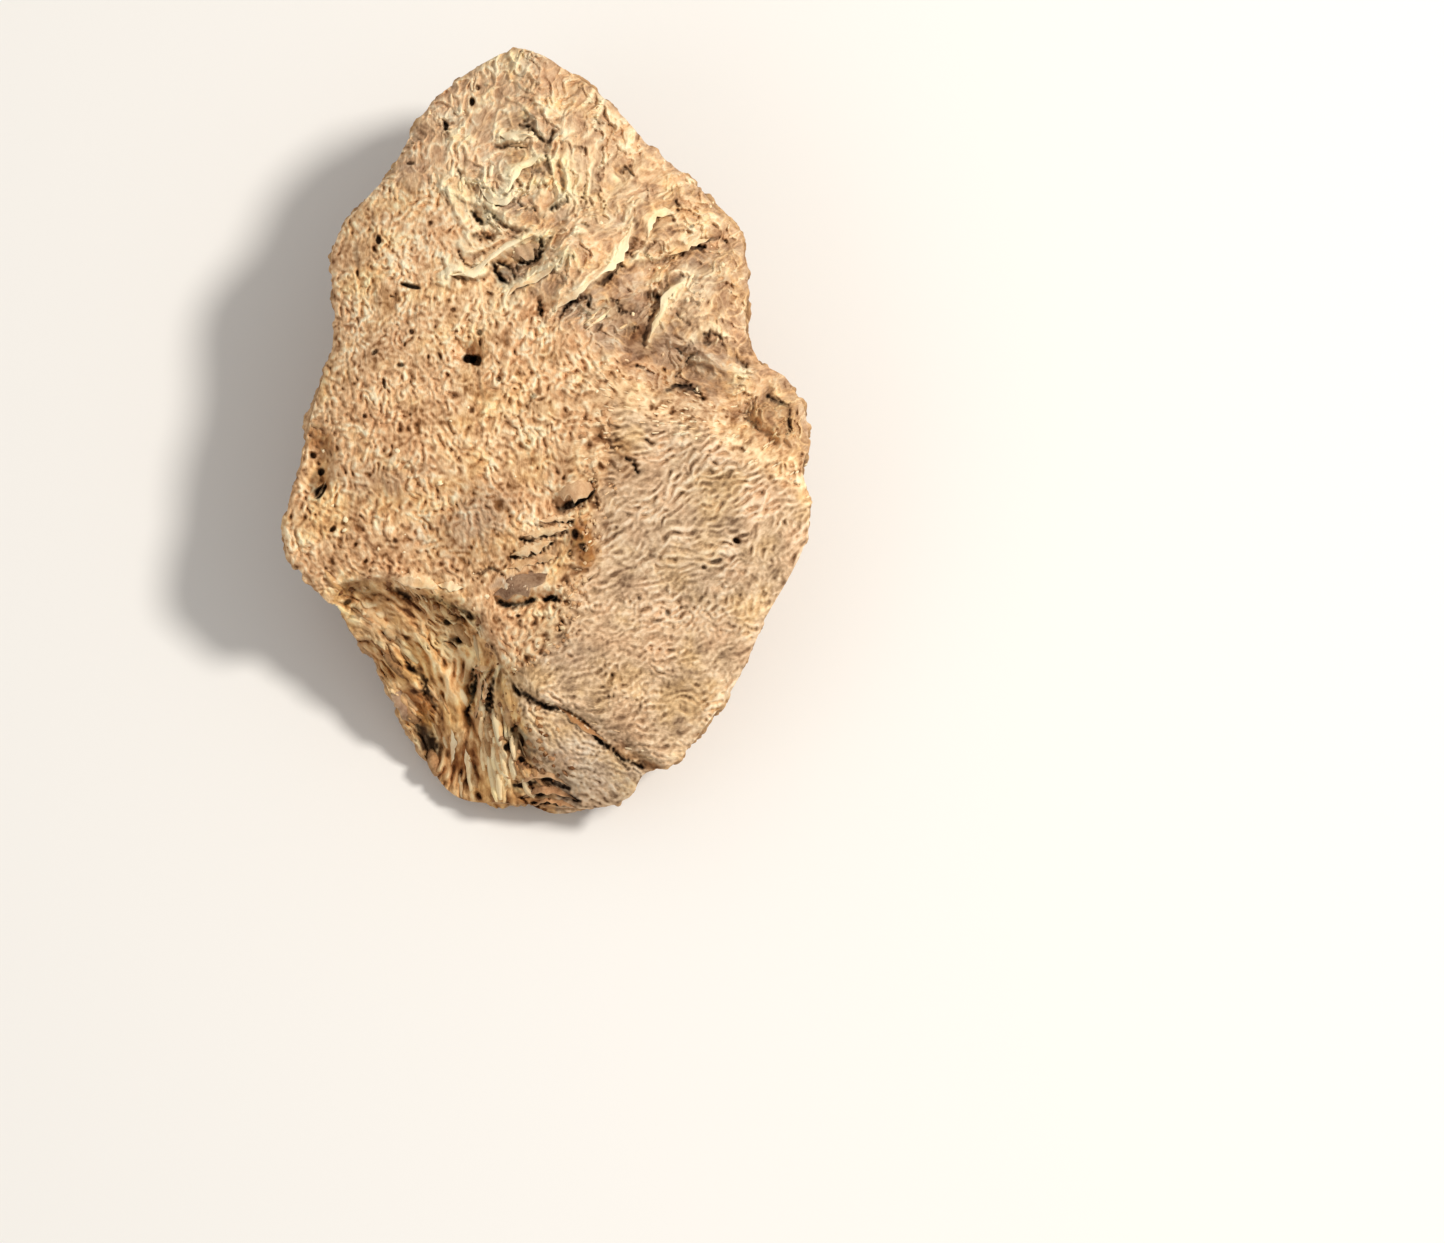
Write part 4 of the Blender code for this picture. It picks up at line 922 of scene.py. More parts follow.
# each ramp runs from a groove colour to a crest colour, so grooves are darker and crests lighter: partly the
# root's own colour, partly painted shade and highlight
rootTones = {
    "groove": srgb(138, 94, 54), "tan": srgb(206, 162, 118), "light": srgb(238, 200, 154),
    "crest": srgb(255, 241, 205),
    "facetGroove": srgb(124, 96, 70), "facetMid": srgb(186, 155, 121), "facetLight": srgb(226, 195, 158),
    "facetCrest": srgb(250, 228, 196),
    "fibreGroove": srgb(100, 60, 29), "fibreMid": srgb(200, 151, 98), "fibreLight": srgb(238, 196, 140),
    "fibreCrest": srgb(255, 236, 190),
    "warmTint": srgb(184, 150, 112), "greyTint": srgb(216, 214, 214), "cream": srgb(255, 236, 196),
    # the next colour is painted shade, for cracks, holes, fold undersides and bark furrows
    "pitShade": srgb(44, 26, 16),
    "pinkTint": srgb(252, 244, 240), "yellowTint": srgb(255, 248, 228),
    "barkDark": srgb(112, 78, 48), "barkMid": srgb(174, 134, 92), "barkLight": srgb(220, 182, 134),
    "cutDark": srgb(190, 148, 94), "cutMid": srgb(226, 194, 138), "cutLight": srgb(246, 224, 174),
}
mottling = {"scale": 230.0, "roughness": 0.55}
rootFinish = {
    "stops": (0.10, 0.38, 0.62, 0.92), "grainScale": 1100.0, "streakSize": 1.0,
    "streakTone": 0.78, "speckleTone": 0.5, "patchTint": 0.9, "greyShare": 0.9, "creamShare": 0.62,
    "darkShare": 0.92, "roughness": 0.70, "roughGrain": 0.25, "specular": 0.25,
    "streakHeight": 2.1, "grainHeight": 0.5, "bump": 0.8, "bumpDistance": 0.00009,
}


def rootMaterial():
    material = bpy.data.materials.new("driedRoot")
    material.use_nodes = True
    tree = Tree(material.node_tree)
    shader = material.node_tree.nodes["Principled BSDF"]
    t, look = rootTones, rootFinish
    # tone: tone, darkness (mostly painted shade), torn; stain: warm, grey, cream; side: bark, cut, sawn
    tone, stain, side = [tree.attribute(name) for name in ("tone", "stain", "side")]
    grainNode = tree.add("ShaderNodeGroup", node_tree=fineGrain)
    grainNode.inputs["Scale"].default_value = look["grainScale"]
    speckle = grainNode.outputs["Speckle"]
    streakNode = tree.add("ShaderNodeGroup", node_tree=grainStreaks)
    grainTurn = tree.add("ShaderNodeAttribute", attribute_name="grainTurn").outputs["Vector"]
    tree.links.new(grainTurn, streakNode.inputs["Grain"])
    streakNode.inputs["Size"].default_value = look["streakSize"]
    streaks = streakNode.outputs["Streaks"]
    # the streaks and speckle that raise the bump also move the tone, darker in their hollows: partly painted
    # shade
    offset = tree.math("MULTIPLY", tree.math("SUBTRACT", streaks, 0.5), look["streakTone"])
    dotted = tree.math("MULTIPLY", tree.math("SUBTRACT", speckle, 0.5), look["speckleTone"])
    crestTone = tree.math("ADD", tree.math("ADD", tone[0], offset), dotted, True)
    finishes = (("groove", "tan", "light", "crest"), ("facetGroove", "facetMid", "facetLight", "facetCrest"),
                ("fibreGroove", "fibreMid", "fibreLight", "fibreCrest"))
    barkFace, sawn, torn = [
        tree.ramp(crestTone, [(stop, t[name]) for stop, name in zip(look["stops"], names)])
        for names in finishes]
    colour = tree.mix(side[2], barkFace, sawn)
    colour = tree.mix(tone[2], colour, torn)
    # broad patches, pinker and yellower
    coords = tree.add("ShaderNodeTexCoord").outputs["Object"]
    patches = tree.add("ShaderNodeTexNoise", {"Vector": coords, "Scale": mottling["scale"], "Detail": 3.0,
                                              "Roughness": mottling["roughness"]}).outputs["Fac"]
    tint = tree.ramp(patches, ((0.36, t["pinkTint"]), (0.5, srgb(255, 255, 255)), (0.64, t["yellowTint"])))
    colour = tree.mix(look["patchTint"], colour, tint, "MULTIPLY")
    # grey stain: the root's own grey, and painted shade in hollows, dips under folds and the shoulder's
    # valleys
    grey = tree.add("ShaderNodeRGBToBW", {0: colour}).outputs[0]
    greyed = tree.mix(1.0, tree.mix(0.25, colour, grey), t["greyTint"], "MULTIPLY")
    colour = tree.mix(tree.math("MULTIPLY", stain[1], look["greyShare"]), colour, greyed)
    # cream goes more on crests: partly the root's own cream, partly a painted highlight
    creamed = tree.mix(tree.math("MULTIPLY", crestTone, look["creamShare"], True), colour, t["cream"])
    colour = tree.mix(stain[2], colour, creamed)
    colour = tree.mix(stain[0], colour, tree.mix(1.0, colour, t["warmTint"], "MULTIPLY"))
    barkColour = tree.ramp(crestTone, ((0.15, t["barkDark"]), (0.48, t["barkMid"]), (0.8, t["barkLight"])))
    colour = tree.mix(side[0], colour, barkColour)
    cutColour = tree.ramp(crestTone, ((0.15, t["cutDark"]), (0.5, t["cutMid"]), (0.85, t["cutLight"])))
    colour = tree.mix(side[1], colour, cutColour)
    # darkness is painted shade in cracks, holes, under folds and in bark furrows, and the dark rot spot
    darkness = tree.math("MULTIPLY", tone[1], look["darkShare"])
    colour = tree.mix(darkness, colour, t["pitShade"])
    tree.links.new(colour, shader.inputs["Base Color"])
    rough = tree.math("ADD", tree.math("MULTIPLY", speckle, look["roughGrain"]), look["roughness"], True)
    tree.links.new(rough, shader.inputs["Roughness"])
    shader.inputs["Specular IOR Level"].default_value = look["specular"]
    fineHeight = tree.math("MULTIPLY", grainNode.outputs["Height"], look["grainHeight"])
    height = tree.math("ADD", tree.math("MULTIPLY", streaks, look["streakHeight"]), fineHeight)
    bump = tree.add("ShaderNodeBump", {"Strength": look["bump"], "Distance": look["bumpDistance"],
                                       "Height": height})
    tree.links.new(bump.outputs[0], shader.inputs["Normal"])
    return material


rootLook = rootMaterial()
wholeBody = makeBody()
for part in partBody(wholeBody):
    part.data.materials.append(rootLook)
    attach(part, "root")
    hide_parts("root_slice")
bodyTree = BVHTree.FromPolygons([v.co for v in wholeBody.data.vertices],
                                [p.vertices for p in wholeBody.data.polygons])
bpy.data.objects.remove(wholeBody)
print("body made")

# Loose pieces that lie on the body: fibres, flakes and crumbs.


def surfaceHeight(u, v):
    # height of the carved body over each place of the face
    heights = np.empty(len(u))
    down = Vector(-outward)
    for i, start in enumerate(toWorld(u, v, np.full(len(u), 12.0))):
        hit = bodyTree.ray_cast(Vector(start), down, 0.045)
        heights[i] = 12.0 - hit[3] / mm if hit[0] else np.nan
    return heights


def repeated(template, count):
    # one mesh with the template in it count times
    bm = bmesh.new()
    for n in range(count):
        bm.from_mesh(template)
    mesh = bpy.data.meshes.new(template.name)
    bm.to_mesh(mesh)
    bm.free()
    return mesh


def finishLoose(mesh, name, points, tone, stain):
    # a loose piece has no wall, cut or streaks of its own, so those stay at nought
    mesh.vertices.foreach_set("co", points.astype(np.float32).ravel())
    storeVector(mesh, "tone", tone)
    storeVector(mesh, "stain", stain)
    storeVector(mesh, "side", np.zeros_like(tone))
    storeVector(mesh, "grainTurn", np.zeros_like(tone))
    mesh.materials.append(rootLook)
    for polygon in mesh.polygons:
        polygon.use_smooth = True
    mesh.update()
    obj = bpy.data.objects.new(name, mesh)
    bpy.context.scene.collection.objects.link(obj)
    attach(obj, "root")
    return obj


# Each group of strands: how many, where (a map), length, radius, how far the ends lift, and looks.
tornPlaces = fibres * smoothStep(stainAndShadeMaps["dark"], 1.2, 0.2)
edgePlaces = np.clip(ridgeBand + 0.8 * np.exp(-((below - 0.1) / 0.5) ** 2) + 0.5 * strip, 0, 1) * (1 - toe)
strandGroups = {
    "fibreBundles": {"count": 44, "where": tornPlaces, "length": (2.0, 5.0), "radius": (0.25, 0.5),
                     "lift": (-0.25, 0.08), "flat": 0.6, "tone": 0.5, "torn": 1.0, "stain": (0.1, 0.4, 0.1)},
    "splinters": {"count": 70, "where": tornPlaces, "length": (0.9, 3.2), "radius": (0.09, 0.22),
                  "lift": (-0.05, 0.35), "flat": 0.7, "tone": 0.62, "torn": 1.0, "stain": (0.3, 0.2, 0.2)},
    "creamFibres": {"count": 34, "where": fibres * spot(gridU, gridV, (-5.4, -33.0, 1.7, 3.6, 18)),
                    "length": (1.5, 4.0), "radius": (0.18, 0.36), "lift": (-0.05, 0.3), "flat": 0.7,
                    "tone": 0.88, "torn": 1.0, "stain": (0.1, 0.0, 0.8)},
    "edgeFuzz": {"count": 170, "where": edgePlaces, "length": (0.3, 0.8), "radius": (0.06, 0.12),
                 "lift": (0.0, 0.2), "flat": 0.8, "tone": 0.78, "torn": 0.0, "stain": (0.1, 0.0, 0.4)},
    "foldStrands": {"count": 50, "where": shoulder * smoothStep(gridV, 6.0, 12.0), "length": (0.8, 1.8),
                    "radius": (0.12, 0.24), "lift": (-0.08, 0.14), "flat": 0.8, "tone": 0.75, "torn": 0.0,
                    "stain": (0.1, 0.0, 0.3)},
}
strandShape = {"sides": 5, "rings": 8}


def strandTemplate():
    bm = bmesh.new()
    bmesh.ops.create_cone(bm, segments=strandShape["sides"], radius1=1.0, radius2=1.0, depth=1.0,
                          cap_ends=True)
    long = [e for e in bm.edges if abs(e.verts[0].co.z - e.verts[1].co.z) > 0.5]
    bmesh.ops.subdivide_edges(bm, edges=long, cuts=strandShape["rings"] - 1)
    bmesh.ops.translate(bm, verts=bm.verts, vec=(0.0, 0.0, 0.5))
    mesh = bpy.data.meshes.new("strand")
    bm.to_mesh(mesh)
    bm.free()
    return mesh


def scatter(where, count):
    # random places, more often where the map is high
    chance = np.clip(where, 0, None).ravel()
    cells = rng.choice(chance.size, size=count, p=chance / chance.sum())
    jitter = rng.uniform(0, reliefGrid["cell"], (2, count))
    return gridU.ravel()[cells] + jitter[0], gridV.ravel()[cells] + jitter[1]


def makeStrands(name, look):
    rings, count = strandShape["rings"], look["count"]
    template = strandTemplate()
    local = coordinates(template)
    u, v = scatter(look["where"], count)
    length, radius = rng.uniform(*look["length"], count), rng.uniform(*look["radius"], count)
    grainCos, grainSin = np.cos(2 * baseAngle), np.sin(2 * baseAngle)
    turned = np.where(rng.random(count) < 0.5, math.pi, 0)
    stray = rng.normal(0, 0.07, count)
    pathU, pathV = np.empty((count, rings + 1)), np.empty((count, rings + 1))
    heading = None
    for ring in range(rings + 1):
        pathU[:, ring], pathV[:, ring] = u, v
        grainHere = 0.5 * np.arctan2(read(grainSin, u, v), read(grainCos, u, v)) + turned + stray
        if heading is not None:
            grainHere = heading + np.angle(np.exp(2j * (grainHere - heading))) / 2.0
        heading = grainHere + rng.normal(0, 0.06, count)
        u, v = u + np.cos(heading) * length / rings, v + np.sin(heading) * length / rings
    pathW = surfaceHeight(pathU.ravel(), pathV.ravel()).reshape(count, rings + 1)
    keep = ~np.isnan(pathW).any(axis=1) & (np.ptp(np.nan_to_num(pathW), axis=1) < 0.9 * length + 0.6)
    pathU, pathV, pathW, length, radius = pathU[keep], pathV[keep], pathW[keep], length[keep], radius[keep]
    count = len(length)
    # a strand bridges small dips, and one end stands up
    share = np.linspace(0, 1, rings + 1)
    smooth = pathW.copy()
    for turn in range(3):
        smooth[:, 1:-1] = 0.5 * smooth[:, 1:-1] + 0.25 * (smooth[:, :-2] + smooth[:, 2:])
    pathW = np.maximum(smooth, pathW - 0.05) + rng.uniform(*look["lift"], count)[:, None] * share ** 2
    path = np.stack([pathU, pathV, pathW], axis=-1)
    along = np.gradient(path, axis=1)
    along /= np.linalg.norm(along, axis=-1, keepdims=True)
    sideways = np.cross(along, np.array([0.0, 0.0, 1.0]))
    sideways /= np.linalg.norm(sideways, axis=-1, keepdims=True) + 1e-9
    upward = np.cross(sideways, along)
    ringOf = np.rint(local[:, 2] * rings).astype(int)
    taper = (0.35 + 0.65 * np.sin(math.pi * np.clip(share * 0.85 + 0.12, 0, 1)))[ringOf]
    width = (radius[:, None] * taper)[..., None]
    points = (path[:, ringOf] + width * local[None, :, :1] * sideways[:, ringOf] * (2.0 - look["flat"])
              + width * local[None, :, 1:2] * upward[:, ringOf] * look["flat"])
    flatPoints = points.reshape(-1, 3)
    mesh = repeated(template, count)
    per = len(local)
    tone = np.repeat(np.clip(look["tone"] + rng.normal(0, 0.16, count), 0, 1), per)
    zero = np.zeros_like(tone)
    dark = np.repeat(np.clip(rng.normal(0.0, 0.12, count), 0, 0.4), per)
    stain = np.tile(look["stain"], (len(tone), 1)) * np.repeat(rng.uniform(0.2, 1.6, count), per)[:, None]
    tones = np.stack([tone, dark, zero + look["torn"]], axis=-1)
    return finishLoose(mesh, name, toWorld(*flatPoints.T), tones, np.clip(stain, 0, 1))


for groupName, look in strandGroups.items():
    strandPiece = makeStrands(groupName, look)
    print(groupName, len(strandPiece.data.polygons), "faces")

# Flakes: the line each one hangs from, its free edge, lift of that edge, tone, and warm, grey and cream.
flakes = {
    "upperFlake": (((1.1, -6.5), (1.8, -5.4), (2.8, -5.0), (4.0, -5.2), (4.7, -6.1)),
        ((1.1, -6.5), (1.7, -7.1), (2.7, -7.0), (3.7, -6.6), (4.7, -6.1)), 0.9, 0.52, (0.15, 0.3, 0.0)),
    "lowerPlate": (((-5.4, -16.5), (-4.5, -15.4), (-3.4, -14.5), (-1.8, -14.2), (0.0, -14.4)),
        ((-5.4, -16.5), (-4.1, -17.0), (-2.8, -17.0), (-1.4, -16.4), (0.0, -14.4)),
        0.6, 0.27, (0.0, 1.0, 0.0)),
    "pinkFlake": (((-4.0, -13.9), (-3.2, -13.2), (-1.9, -12.8), (-0.8, -13.2)),
        ((-4.0, -13.9), (-2.9, -13.9), (-1.7, -13.7), (-0.8, -13.2)), 0.25, 0.58, (0.35, 0.0, 0.1)),
    "shingleHigh": (((-0.9, -9.2), (0.3, -8.7), (1.8, -8.6), (2.8, -9.0)),
        ((-0.9, -9.2), (0.3, -9.5), (1.8, -9.3), (2.8, -9.0)), 0.3, 0.7, (0.1, 0.0, 0.3)),
    "shingleMid": (((-2.5, -10.7), (-1.0, -9.9), (0.6, -9.7), (2.2, -10.0)),
        ((-2.5, -10.7), (-0.7, -10.8), (0.8, -10.5), (2.2, -10.0)), 0.3, 0.66, (0.2, 0.0, 0.2)),
    "shingleLow": (((-3.7, -12.6), (-2.4, -11.6), (-0.7, -11.1), (0.7, -11.2)),
        ((-3.7, -12.6), (-2.3, -12.6), (-0.7, -12.0), (0.7, -11.2)), 0.3, 0.66, (0.25, 0.0, 0.1)),
    "shingleEdge": (((-1.2, -13.3), (-0.2, -12.4), (1.0, -12.7)),
        ((-1.2, -13.3), (-0.1, -13.4), (1.0, -12.7)), 0.3, 0.6, (0.2, 0.1, 0.1)),
    "knotLid": (((-5.1, 29.5), (-4.0, 29.8), (-2.5, 29.7), (-1.1, 29.1)),
        ((-5.1, 29.5), (-4.1, 28.9), (-2.7, 28.8), (-1.1, 29.1)), 0.35, 0.86, (0.0, 0.0, 0.6)),
    "knotSheet": (((-4.2, 23.3), (-3.9, 25.0), (-3.3, 26.2), (-2.0, 26.9), (-0.7, 27.5)),
        ((-4.2, 23.3), (-3.3, 24.5), (-2.8, 25.6), (-1.8, 26.1), (-0.7, 27.5)), 0.5, 0.95, (0.0, 0.0, 0.8)),
    "knotCup": (((-7.1, 24.5), (-6.5, 23.8), (-5.5, 23.2), (-4.3, 22.9), (-3.0, 23.5)),
        ((-7.1, 24.5), (-6.4, 23.1), (-5.3, 22.2), (-4.1, 22.2), (-3.0, 23.5)), 0.35, 0.84, (0.0, 0.0, 0.5)),
    "brow": (((-9.9, 15.2), (-7.4, 16.0), (-5.8, 17.3), (-4.3, 18.5), (-1.5, 19.2)),
        ((-9.9, 15.2), (-7.3, 15.2), (-5.5, 16.7), (-4.0, 17.8), (-1.5, 19.2)), 0.55, 0.9, (0.0, 0.0, 0.7)),
    "pocketPlate": (((-3.7, 17.1), (-3.4, 18.1), (-2.1, 18.5), (-0.8, 18.4)),
        ((-3.7, 17.1), (-2.6, 16.8), (-1.4, 17.0), (-0.8, 18.4)), 0.3, 0.5, (0.0, 0.9, 0.0)),
    "sillRibbon": (((-4.2, 12.9), (-3.5, 14.3), (-1.8, 14.9), (-0.0, 15.9), (1.6, 17.1)),
        ((-4.2, 12.9), (-3.1, 13.8), (-1.4, 14.3), (0.3, 15.2), (1.6, 17.1)), 0.35, 0.76, (0.05, 0.0, 0.4)),
    "flap": (((4.7, 14.8), (5.6, 15.8), (6.5, 17.0), (7.3, 18.5), (8.3, 20.6)),
        ((4.7, 14.8), (6.1, 15.5), (7.0, 16.3), (7.8, 17.8), (8.3, 20.6)), 0.9, 0.95, (0.0, 0.0, 0.8)),
    "ribbonLow": (((0.5, 11.5), (1.5, 12.9), (3.0, 13.8), (4.9, 15.0)),
        ((0.5, 11.5), (1.8, 12.3), (3.3, 13.3), (4.9, 15.0)), 0.35, 0.76, (0.05, 0.0, 0.4)),
    "strawLow": (((3.5, 9.4), (4.5, 10.4), (5.6, 11.3), (6.4, 12.0)),
        ((3.5, 9.4), (4.7, 10.1), (5.7, 11.0), (6.4, 12.0)), 0.3, 0.85, (0.05, 0.0, 0.6)),
    "strawHigh": (((3.2, 9.9), (4.2, 10.9), (5.1, 11.7)),
        ((3.2, 9.9), (4.4, 10.7), (5.1, 11.7)), 0.25, 0.8, (0.05, 0.0, 0.5)),
    "lobeLip": (((13.8, 14.8), (12.6, 13.7), (11.9, 12.7), (11.6, 11.5), (10.9, 10.1), (10.0, 8.9)),
        ((13.8, 14.8), (12.1, 13.9), (11.4, 12.9), (11.1, 11.7), (10.3, 10.4), (10.0, 8.9)),
        0.35, 0.95, (0.15, 0.0, 0.8)),
    "arch": (((9.8, 18.8), (9.7, 20.6), (10.4, 21.7), (11.5, 22.2), (12.7, 21.5)),
        ((9.8, 18.8), (10.3, 20.3), (10.9, 21.1), (11.6, 21.3), (12.7, 21.5)), 0.4, 0.86, (0.0, 0.0, 0.6)),
    "foldRoof": (((11.8, 17.3), (13.0, 18.3), (14.4, 19.0), (16.0, 19.2)),
        ((11.8, 17.3), (13.3, 17.6), (14.7, 18.2), (16.0, 19.2)), 0.4, 0.72, (0.05, 0.1, 0.2)),
    "toeStrip": (((0.7, -27.4), (2.3, -28.3), (4.1, -29.6), (5.8, -31.1)),
        ((0.7, -27.4), (2.0, -28.8), (3.8, -30.2), (5.8, -31.1)), 0.25, 0.42, (0.6, 0.1, 0.0)),
    "footTop": (((-3.3, -35.4), (-1.6, -34.2), (0.2, -34.1), (1.8, -35.6)),
        ((-3.3, -35.4), (-1.5, -34.9), (0.2, -34.8), (1.8, -35.6)), 0.4, 0.5, (0.3, 0.2, 0.0)),
    "footMid": (((-2.9, -36.9), (-1.2, -35.5), (0.6, -35.5), (2.7, -37.2)),
        ((-2.9, -36.9), (-1.1, -36.3), (0.5, -36.3), (2.7, -37.2)), 0.4, 0.42, (0.4, 0.2, 0.0)),
    "footLow": (((-1.9, -37.7), (-0.5, -36.8), (1.1, -37.0), (2.5, -37.9)),
        ((-1.9, -37.7), (-0.3, -37.4), (1.1, -37.6), (2.5, -37.9)), 0.3, 0.45, (0.4, 0.0, 0.1)),
    "purpleWedge": (((-16.1, -26.4), (-15.0, -26.0), (-14.1, -27.5), (-14.3, -29.3)),
        ((-16.1, -26.4), (-15.7, -27.6), (-15.1, -28.6), (-14.3, -29.3)), 0.3, 0.36, (0.0, 1.0, 0.0)),
    "poreBridge": (((-23.4, -7.1), (-23.0, -6.1), (-22.2, -5.1)),
        ((-23.4, -7.1), (-22.7, -6.3), (-22.2, -5.1)), 0.12, 0.72, (0.0, 0.1, 0.3)),
    "chipLeft": (((-15.4, -14.9), (-13.8, -14.3), (-11.9, -14.6), (-10.9, -15.6)),
        ((-15.4, -14.9), (-13.8, -15.7), (-12.1, -15.9), (-10.9, -15.6)), 0.3, 0.66, (0.1, 0.0, 0.3)),
    "chipMid": (((-11.0, -15.5), (-9.7, -15.0), (-8.3, -15.8)),
        ((-11.0, -15.5), (-9.8, -16.2), (-8.3, -15.8)), 0.3, 0.74, (0.1, 0.0, 0.4)),
    "barA": (((-7.4, -23.4), (-7.3, -25.4), (-7.5, -27.4), (-7.8, -29.3)),
        ((-7.4, -23.4), (-6.9, -25.4), (-6.9, -27.4), (-7.8, -29.3)), 0.35, 0.55, (0.1, 0.3, 0.1)),
    "barB": (((-6.6, -24.6), (-6.6, -26.0), (-6.7, -27.4)),
        ((-6.6, -24.6), (-6.1, -26.0), (-6.7, -27.4)), 0.35, 0.6, (0.2, 0.1, 0.2)),
    "barCross": (((-7.6, -23.8), (-6.7, -23.4), (-5.7, -23.7)),
        ((-7.6, -23.8), (-6.7, -24.1), (-5.7, -23.7)), 0.5, 0.66, (0.2, 0.1, 0.2)),
    "tuftA": (((-10.0, -29.9), (-10.2, -31.5), (-10.1, -33.7)),
        ((-10.0, -29.9), (-9.5, -31.7), (-10.1, -33.7)), 0.5, 0.92, (0.1, 0.0, 0.8)),
    "tuftB": (((-8.6, -31.9), (-8.8, -33.1), (-8.4, -34.7)),
        ((-8.6, -31.9), (-8.0, -33.3), (-8.4, -34.7)), 0.5, 0.9, (0.1, 0.0, 0.8)),
    "tuftC": (((-4.8, -33.4), (-5.1, -34.4), (-4.5, -35.9)),
        ((-4.8, -33.4), (-4.2, -34.6), (-4.5, -35.9)), 0.5, 0.9, (0.1, 0.0, 0.7)),
}
flakeShape = {"cutsAlong": 20, "cutsAcross": 6, "thickness": 0.12}


def alongLine(line, share):
    # places at the given shares of a drawn line's length
    corners = np.array(line)
    gone = np.concatenate([[0.0], np.cumsum(np.hypot(*np.diff(corners, axis=0).T))])
    return np.interp(share, gone / gone[-1], corners[:, 0]), np.interp(share, gone / gone[-1], corners[:, 1])


def ironed(heights, row, column):
    # takes the small steps of the surface below out of a sheet
    sheet = np.zeros((row.max() + 1, column.max() + 1))
    sheet[row, column] = heights
    for turn in range(3):
        wide = np.pad(sheet, 1, mode="edge")
        around = wide[:-2, 1:-1] + wide[2:, 1:-1] + wide[1:-1, :-2] + wide[1:-1, 2:]
        sheet = (2.0 * sheet + around) / 6.0
    return sheet[row, column]


def makeFlakes():
    bm = bmesh.new()
    bmesh.ops.create_grid(bm, x_segments=flakeShape["cutsAlong"], y_segments=flakeShape["cutsAcross"],
                          size=1.0)
    bmesh.ops.solidify(bm, geom=bm.faces, thickness=0.02)
    bmesh.ops.recalc_face_normals(bm, faces=bm.faces)
    template = bpy.data.meshes.new("flake")
    bm.to_mesh(template)
    bm.free()
    local = coordinates(template)
    under = local[:, 2] < np.median(local[:, 2])
    share, free = np.clip((local[:, 0] + 1) / 2, 0, 1), np.clip((1 - local[:, 1]) / 2, 0, 1)
    ends = np.clip(1.0 - np.abs(2 * share - 1) ** 3, 0.0, 1.0)
    knots = np.linspace(0, 1, 12)
    column = np.rint(share * flakeShape["cutsAlong"]).astype(int)
    row = np.rint(free * flakeShape["cutsAcross"]).astype(int)
    points, tones, stainRows = [], [], []
    for hinge, edge, lift, tone, stain in flakes.values():
        # pointed where its two lines meet, and ragged along the free edge
        (hingeU, hingeV), (edgeU, edgeV) = alongLine(hinge, share), alongLine(edge, share)
        reach = free * (1.0 + 0.22 * np.interp(share, knots, rng.normal(0, 1, 12)) * free)
        u, v = hingeU + (edgeU - hingeU) * reach, hingeV + (edgeV - hingeV) * reach
        heights = [surfaceHeight(*place) for place in ((u, v), (hingeU, hingeV), (edgeU, edgeV))]
        under0, hingeTop, edgeTop = [np.where(np.isnan(h), np.nanmedian(h), h) for h in heights]
        top = hingeTop * (1 - free) + np.maximum(edgeTop, hingeTop - 0.3) * free
        top = top + 0.6 * lift * ends * free ** 1.3
        top = top + 0.03 * np.interp(share, knots, rng.normal(0, 1, 12))
        # clear of the surface all over, apart from the hinge, which is sunk in it
        top = ironed(np.maximum(top, under0 + 0.2), row, column)
        top = np.maximum(top, under0 + 0.08) - 0.24 * (1 - free) ** 3
        w = top - under * flakeShape["thickness"] * (0.3 + 0.7 * ends)
        points.append(np.stack([u, v, w], axis=-1))
        edgeTone = 0.18 * (free > 0.85) + 0.06 * np.interp(share, knots, rng.normal(0, 1, 12))
        # the flake's underside is painted darker as shade, and its free edge lighter
        tones.append(np.stack([np.clip(tone + edgeTone, 0, 1), 0.3 * under, 0 * share], axis=-1))
        stainRows.append(np.tile(stain, (len(share), 1)))
    mesh = repeated(template, len(flakes))
    points = toWorld(*np.concatenate(points).T)
    return finishLoose(mesh, "barkFlakes", points, np.concatenate(tones), np.concatenate(stainRows))


flakePiece = makeFlakes()
print("flakes", len(flakePiece.data.polygons), "faces")

# Each group of crumbs: how many, where (a map), size and looks.
breakPlaces = 0.5 * np.exp(-((below - 0.8) / 0.6) ** 2) * (1 - toe) * (gridV > -24)
breakPlaces = spot(gridU, gridV, (-2.6, -31.0, 1.8, 4.6, 28)) + breakPlaces
crumbs = {
    "orangeCrumbs": {"count": 110, "where": strip * smoothStep(-gridV, -2.0, 2.0), "size": (0.12, 0.3),
                     "tone": 0.6, "stain": (0.45, 0.0, 0.4)},
    "darkCrumbs": {"count": 110, "where": breakPlaces, "size": (0.14, 0.36), "tone": 0.25,
                   "stain": (0.4, 0.2, 0.0)},
    "paleCrumbs": {"count": 90, "where": 0.5 * ridgeBand + 0.25 * front + 0.4 * shoulder,
                   "size": (0.10, 0.26), "tone": 0.9, "stain": (0.0, 0.0, 0.6)},
}


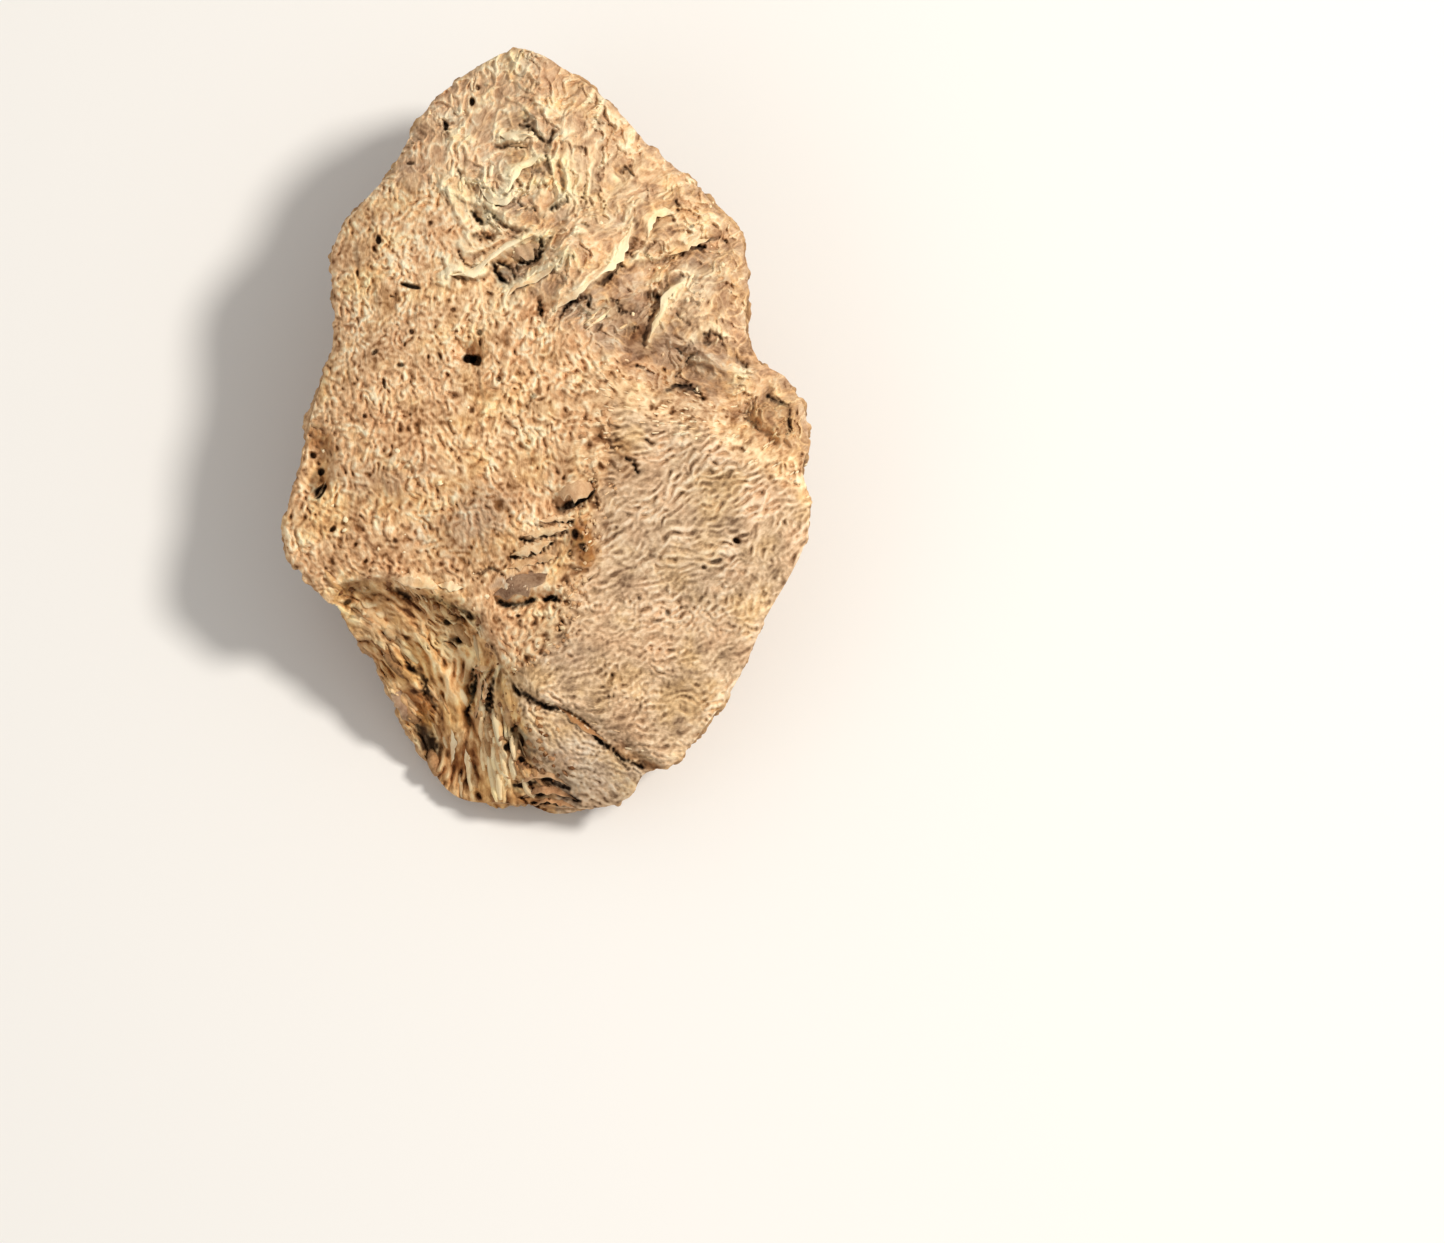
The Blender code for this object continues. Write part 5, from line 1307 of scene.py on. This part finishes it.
def makeCrumbs(name, look):
    bm = bmesh.new()
    bmesh.ops.create_icosphere(bm, subdivisions=2, radius=1.0)
    template = bpy.data.meshes.new("crumb")
    bm.to_mesh(template)
    bm.free()
    local = coordinates(template)
    u, v = scatter(look["where"], look["count"])
    w = surfaceHeight(u, v)
    u, v, w = u[~np.isnan(w)], v[~np.isnan(w)], w[~np.isnan(w)]
    count = len(u)
    size = rng.uniform(*look["size"], count)[:, None, None] * rng.uniform(0.6, 1.3, (count, 1, 3))
    knobs = 1.0 + 0.22 * rng.normal(size=(count, len(local), 1))
    spin = rng.uniform(0, 2 * math.pi, count)
    shape = local[None] * size * knobs
    c, s = np.cos(spin)[:, None], np.sin(spin)[:, None]
    points = np.stack([shape[..., 0] * c - shape[..., 1] * s + u[:, None],
                       shape[..., 0] * s + shape[..., 1] * c + v[:, None],
                       shape[..., 2] + w[:, None] - 0.04], axis=-1).reshape(-1, 3)
    per = len(local)
    tone = np.repeat(np.clip(look["tone"] + rng.normal(0, 0.15, count), 0, 1), per)
    zero = np.zeros_like(tone)
    tones, stain = np.stack([tone, zero, zero], axis=-1), np.tile(look["stain"], (len(tone), 1))
    return finishLoose(repeated(template, count), name, toWorld(*points.T), tones, stain)


for crumbName, look in crumbs.items():
    crumbPiece = makeCrumbs(crumbName, look)
    print(crumbName, len(crumbPiece.data.polygons), "faces")


# Floor, light and camera.

studio = {"floorTone": (0.86, 0.85, 0.83, 1.0), "worldTone": (1.0, 0.97, 0.93, 1.0), "worldStrength": 0.47}
# places and sizes of the lights are in metres
lights = {
    "key": {"place": (0.36, 0.05, 0.52), "size": 0.12, "power": 3.2, "tone": (1.0, 0.95, 0.88)},
    "fill": {"place": (-0.45, -0.35, 0.5), "size": 0.6, "power": 0.5, "tone": (1.0, 0.97, 0.94)},
}
view = {"distance": 600.0, "frameWidth": 144.5, "centre": (17.25, -19.15, -10.0)}


def makeFloor():
    bm = bmesh.new()
    bmesh.ops.create_grid(bm, x_segments=1, y_segments=1, size=3.0)
    mesh = bpy.data.meshes.new("floor")
    bm.to_mesh(mesh)
    bm.free()
    floor = bpy.data.objects.new("floor", mesh)
    bpy.context.scene.collection.objects.link(floor)
    material = bpy.data.materials.new("paleFloor")
    material.use_nodes = True
    shader = material.node_tree.nodes["Principled BSDF"]
    shader.inputs["Base Color"].default_value = studio["floorTone"]
    shader.inputs["Roughness"].default_value = 0.9
    mesh.materials.append(material)


def makeLights():
    middle = Vector((0.0, 0.0, 0.012))
    for name, light in lights.items():
        data = bpy.data.lights.new(name, "AREA")
        data.shape, data.size, data.energy, data.color = "DISK", light["size"], light["power"], light["tone"]
        lamp = bpy.data.objects.new(name, data)
        lamp.location = light["place"]
        lamp.rotation_euler = (middle - lamp.location).to_track_quat("-Z", "Y").to_euler()
        bpy.context.scene.collection.objects.link(lamp)
    world = bpy.data.worlds.new("studio")
    world.use_nodes = True
    background = world.node_tree.nodes["Background"]
    background.inputs[0].default_value = studio["worldTone"]
    background.inputs[1].default_value = studio["worldStrength"]
    bpy.context.scene.world = world


def makeCamera():
    u, v, w = view["centre"]
    target = toWorld(np.array([u]), np.array([v]), np.array([w]))[0]
    data = bpy.data.cameras.new("camera")
    data.sensor_width = 36.0
    data.lens = data.sensor_width * view["distance"] / view["frameWidth"]
    data.clip_start, data.clip_end = 0.01, 20.0
    camera = bpy.data.objects.new("camera", data)
    camera.location = Vector(target) + Vector(outward) * view["distance"] * mm
    camera.rotation_euler = (face["lean"], 0.0, 0.0)
    bpy.context.scene.collection.objects.link(camera)
    bpy.context.scene.camera = camera


makeFloor()
makeLights()
makeCamera()
bpy.context.scene.view_settings.view_transform = "Standard"
print("stage set")
